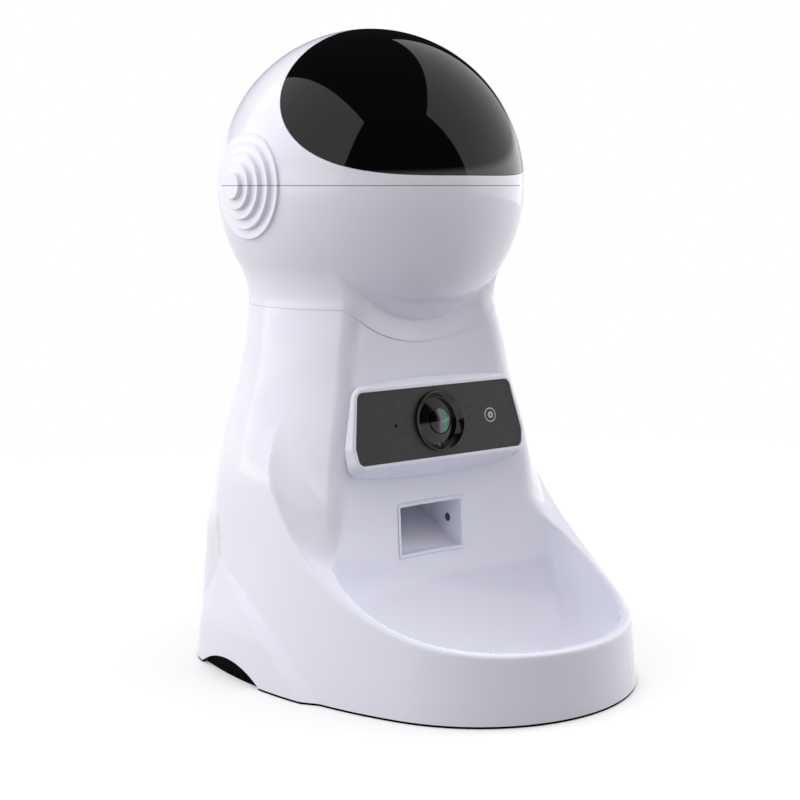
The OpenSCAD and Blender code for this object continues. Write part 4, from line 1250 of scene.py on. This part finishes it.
# large tilted softboxes that show in the gloss: a top front corner, the ways along the top and down the side,
# and the size in metres
shownBoxes = {
    "leftBox": {
        "corner": (-700, -740, 1274),
        "along": (0.246, 0.969, 0.0),
        "down": (-0.37, 0.094, -0.925),
        "size": (1.87, 1.19),
        "watts": 6.0,
    },
    "rightBox": {
        "corner": (280, -940, 1274),
        "along": (0.24, 0.97, 0.0),
        "down": (0.466, -0.12, -0.876),
        "size": (1.63, 1.25),
        "watts": 4.8,
    },
}
# soft fill that the gloss doesn't show, in metres
fillBoxes = {
    "topBox": {"at": (0.0, 0.1, 2.0), "to": (0, 0, 0), "size": (1.2, 1.2), "watts": 10.2},
    "rimBox": {"at": (1.5, -0.3, 0.7), "to": (0, 0, 0.2), "size": (0.8, 1.3), "watts": 10.8},
    "backBox": {"at": (-1.1, 0.9, 1.0), "to": (0, 0, 0.2), "size": (0.8, 1.2), "watts": 6.5},
    "sideBox": {"at": (-1.5, -0.2, 0.6), "to": (0, 0, 0.2), "size": (0.9, 1.4), "watts": 2.9},
}


def makeLamp(name, box, place, turn, shown):
    data = bpy.data.lights.new(name, "AREA")
    data.shape = "RECTANGLE"
    data.size, data.size_y = box["size"]
    data.energy = box["watts"]
    obj = bpy.data.objects.new(name, data)
    obj.matrix_world = Matrix.Translation(place) @ turn
    obj.visible_glossy = shown
    bpy.context.scene.collection.objects.link(obj)


def shownBox(name, box):
    along, down = Vector(box["along"]).normalized(), Vector(box["down"]).normalized()
    width, height = box["size"]
    centre = Vector(toFrame([box["corner"]])[0]) + along * width / 2 + down * height / 2
    facing = along.cross(down)
    if facing.dot(centre) > 0:
        facing = -facing
    up = (-facing).cross(along)
    makeLamp(name, box, centre, Matrix((along, up, -facing)).transposed().to_4x4(), True)


def fillBox(name, box):
    place = Vector(box["at"])
    aim = (Vector(box["to"]) - place).to_track_quat("-Z", "Y")
    makeLamp(name, box, place, aim.to_matrix().to_4x4(), False)


for boxName, boxSettings in shownBoxes.items():
    shownBox(boxName, boxSettings)
for boxName, boxSettings in fillBoxes.items():
    fillBox(boxName, boxSettings)


def grey(level):
    return (level, level, level, 1)


# rays that see the white backdrop: straight, mirrored or through glass
def seenRays(tree):
    path = addNode(tree, "ShaderNodeLightPath").outputs
    some = addNode(
        tree, "ShaderNodeMath", {0: path["Is Camera Ray"], 1: path["Is Glossy Ray"]}, operation="ADD"
    )
    every = addNode(
        tree, "ShaderNodeMath", {0: some.outputs[0], 1: path["Is Transmission Ray"]}, operation="ADD"
    )
    every.use_clamp = True
    return every.outputs[0]


# white walls up to a height, given as the upward part of a ray's direction, then a dark ceiling
room = {"fill": 0.345, "white": "#ffffff", "ceiling": "#1c1c1e", "whiteTo": 0.12, "ceilingFrom": 0.2}


def makeWorld():
    world = bpy.data.worlds.new("whiteRoom")
    bpy.context.scene.world = world
    world.use_nodes = True
    tree = world.node_tree
    back = tree.nodes["Background"]
    toward = addNode(tree, "ShaderNodeTexCoord").outputs["Generated"]
    height = addNode(tree, "ShaderNodeSeparateXYZ", {"Vector": toward}).outputs["Z"]
    rise = addNode(
        tree,
        "ShaderNodeMapRange",
        {"Value": height, "From Min": room["whiteTo"], "From Max": room["ceilingFrom"]},
        interpolation_type="SMOOTHSTEP",
    ).outputs["Result"]
    # the ceiling shows in mirrored rays alone, so the backdrop stays white from every side
    path = addNode(tree, "ShaderNodeLightPath").outputs
    mirrored = addNode(tree, "ShaderNodeMath", {0: rise, 1: path["Is Camera Ray"]}, operation="SUBTRACT")
    mirrored.use_clamp = True
    walls = addNode(
        tree,
        "ShaderNodeMix",
        {"Factor": mirrored.outputs[0], mixA: toLinear(room["white"]), mixB: toLinear(room["ceiling"])},
        data_type="RGBA",
    )
    seen = addNode(
        tree,
        "ShaderNodeMix",
        {"Factor": seenRays(tree), mixA: grey(room["fill"]), mixB: walls.outputs[mixOut]},
        data_type="RGBA",
    )
    tree.links.new(seen.outputs[mixOut], back.inputs["Color"])
    back.inputs["Strength"].default_value = 1.0


makeWorld()

# half width, and how far from the middle the paper turns to plain white, in metres
floor = {"half": 8.0, "paperTo": 0.3, "whiteFrom": 0.9, "paper": 0.84, "glow": 0.12, "bounce": 0.3}


# white to the eye with the object's shadow on it, and a quieter bounce
def floorFinish():
    material = bpy.data.materials.new("matte_white_floor")
    material.use_nodes = True
    tree = material.node_tree
    out = tree.nodes["Material Output"]
    tree.nodes.remove(tree.nodes["Principled BSDF"])
    coords = addNode(tree, "ShaderNodeTexCoord").outputs["Object"]
    apart = addNode(tree, "ShaderNodeVectorMath", {0: coords}, operation="LENGTH").outputs["Value"]
    fade = addNode(
        tree,
        "ShaderNodeMapRange",
        {"Value": apart, "From Min": floor["paperTo"], "From Max": floor["whiteFrom"]},
        interpolation_type="SMOOTHSTEP",
    ).outputs["Result"]
    paper = addNode(tree, "ShaderNodeBsdfDiffuse", {"Color": grey(floor["paper"])})
    glow = addNode(tree, "ShaderNodeEmission", {"Color": grey(1), "Strength": floor["glow"]})
    near = addNode(tree, "ShaderNodeAddShader", {0: paper.outputs[0], 1: glow.outputs[0]})
    white = addNode(tree, "ShaderNodeEmission", {"Color": grey(1), "Strength": 1.0})
    shown = addNode(tree, "ShaderNodeMixShader", {0: fade, 1: near.outputs[0], 2: white.outputs[0]})
    quiet = addNode(tree, "ShaderNodeBsdfDiffuse", {"Color": grey(floor["bounce"])})
    whole = addNode(
        tree, "ShaderNodeMixShader", {0: seenRays(tree), 1: quiet.outputs[0], 2: shown.outputs[0]}
    )
    tree.links.new(whole.outputs[0], out.inputs["Surface"])
    return material


def makeFloor():
    s = floor["half"]
    mesh = bpy.data.meshes.new("floor")
    mesh.from_pydata([(-s, -s, 0), (s, -s, 0), (s, s, 0), (-s, s, 0)], [], [(0, 1, 2, 3)])
    mesh.materials.append(floorFinish())
    obj = bpy.data.objects.new("floor", mesh)
    bpy.context.scene.collection.objects.link(obj)


makeFloor()

bpy.context.scene.view_settings.view_transform = "Standard"
print("stage: light")
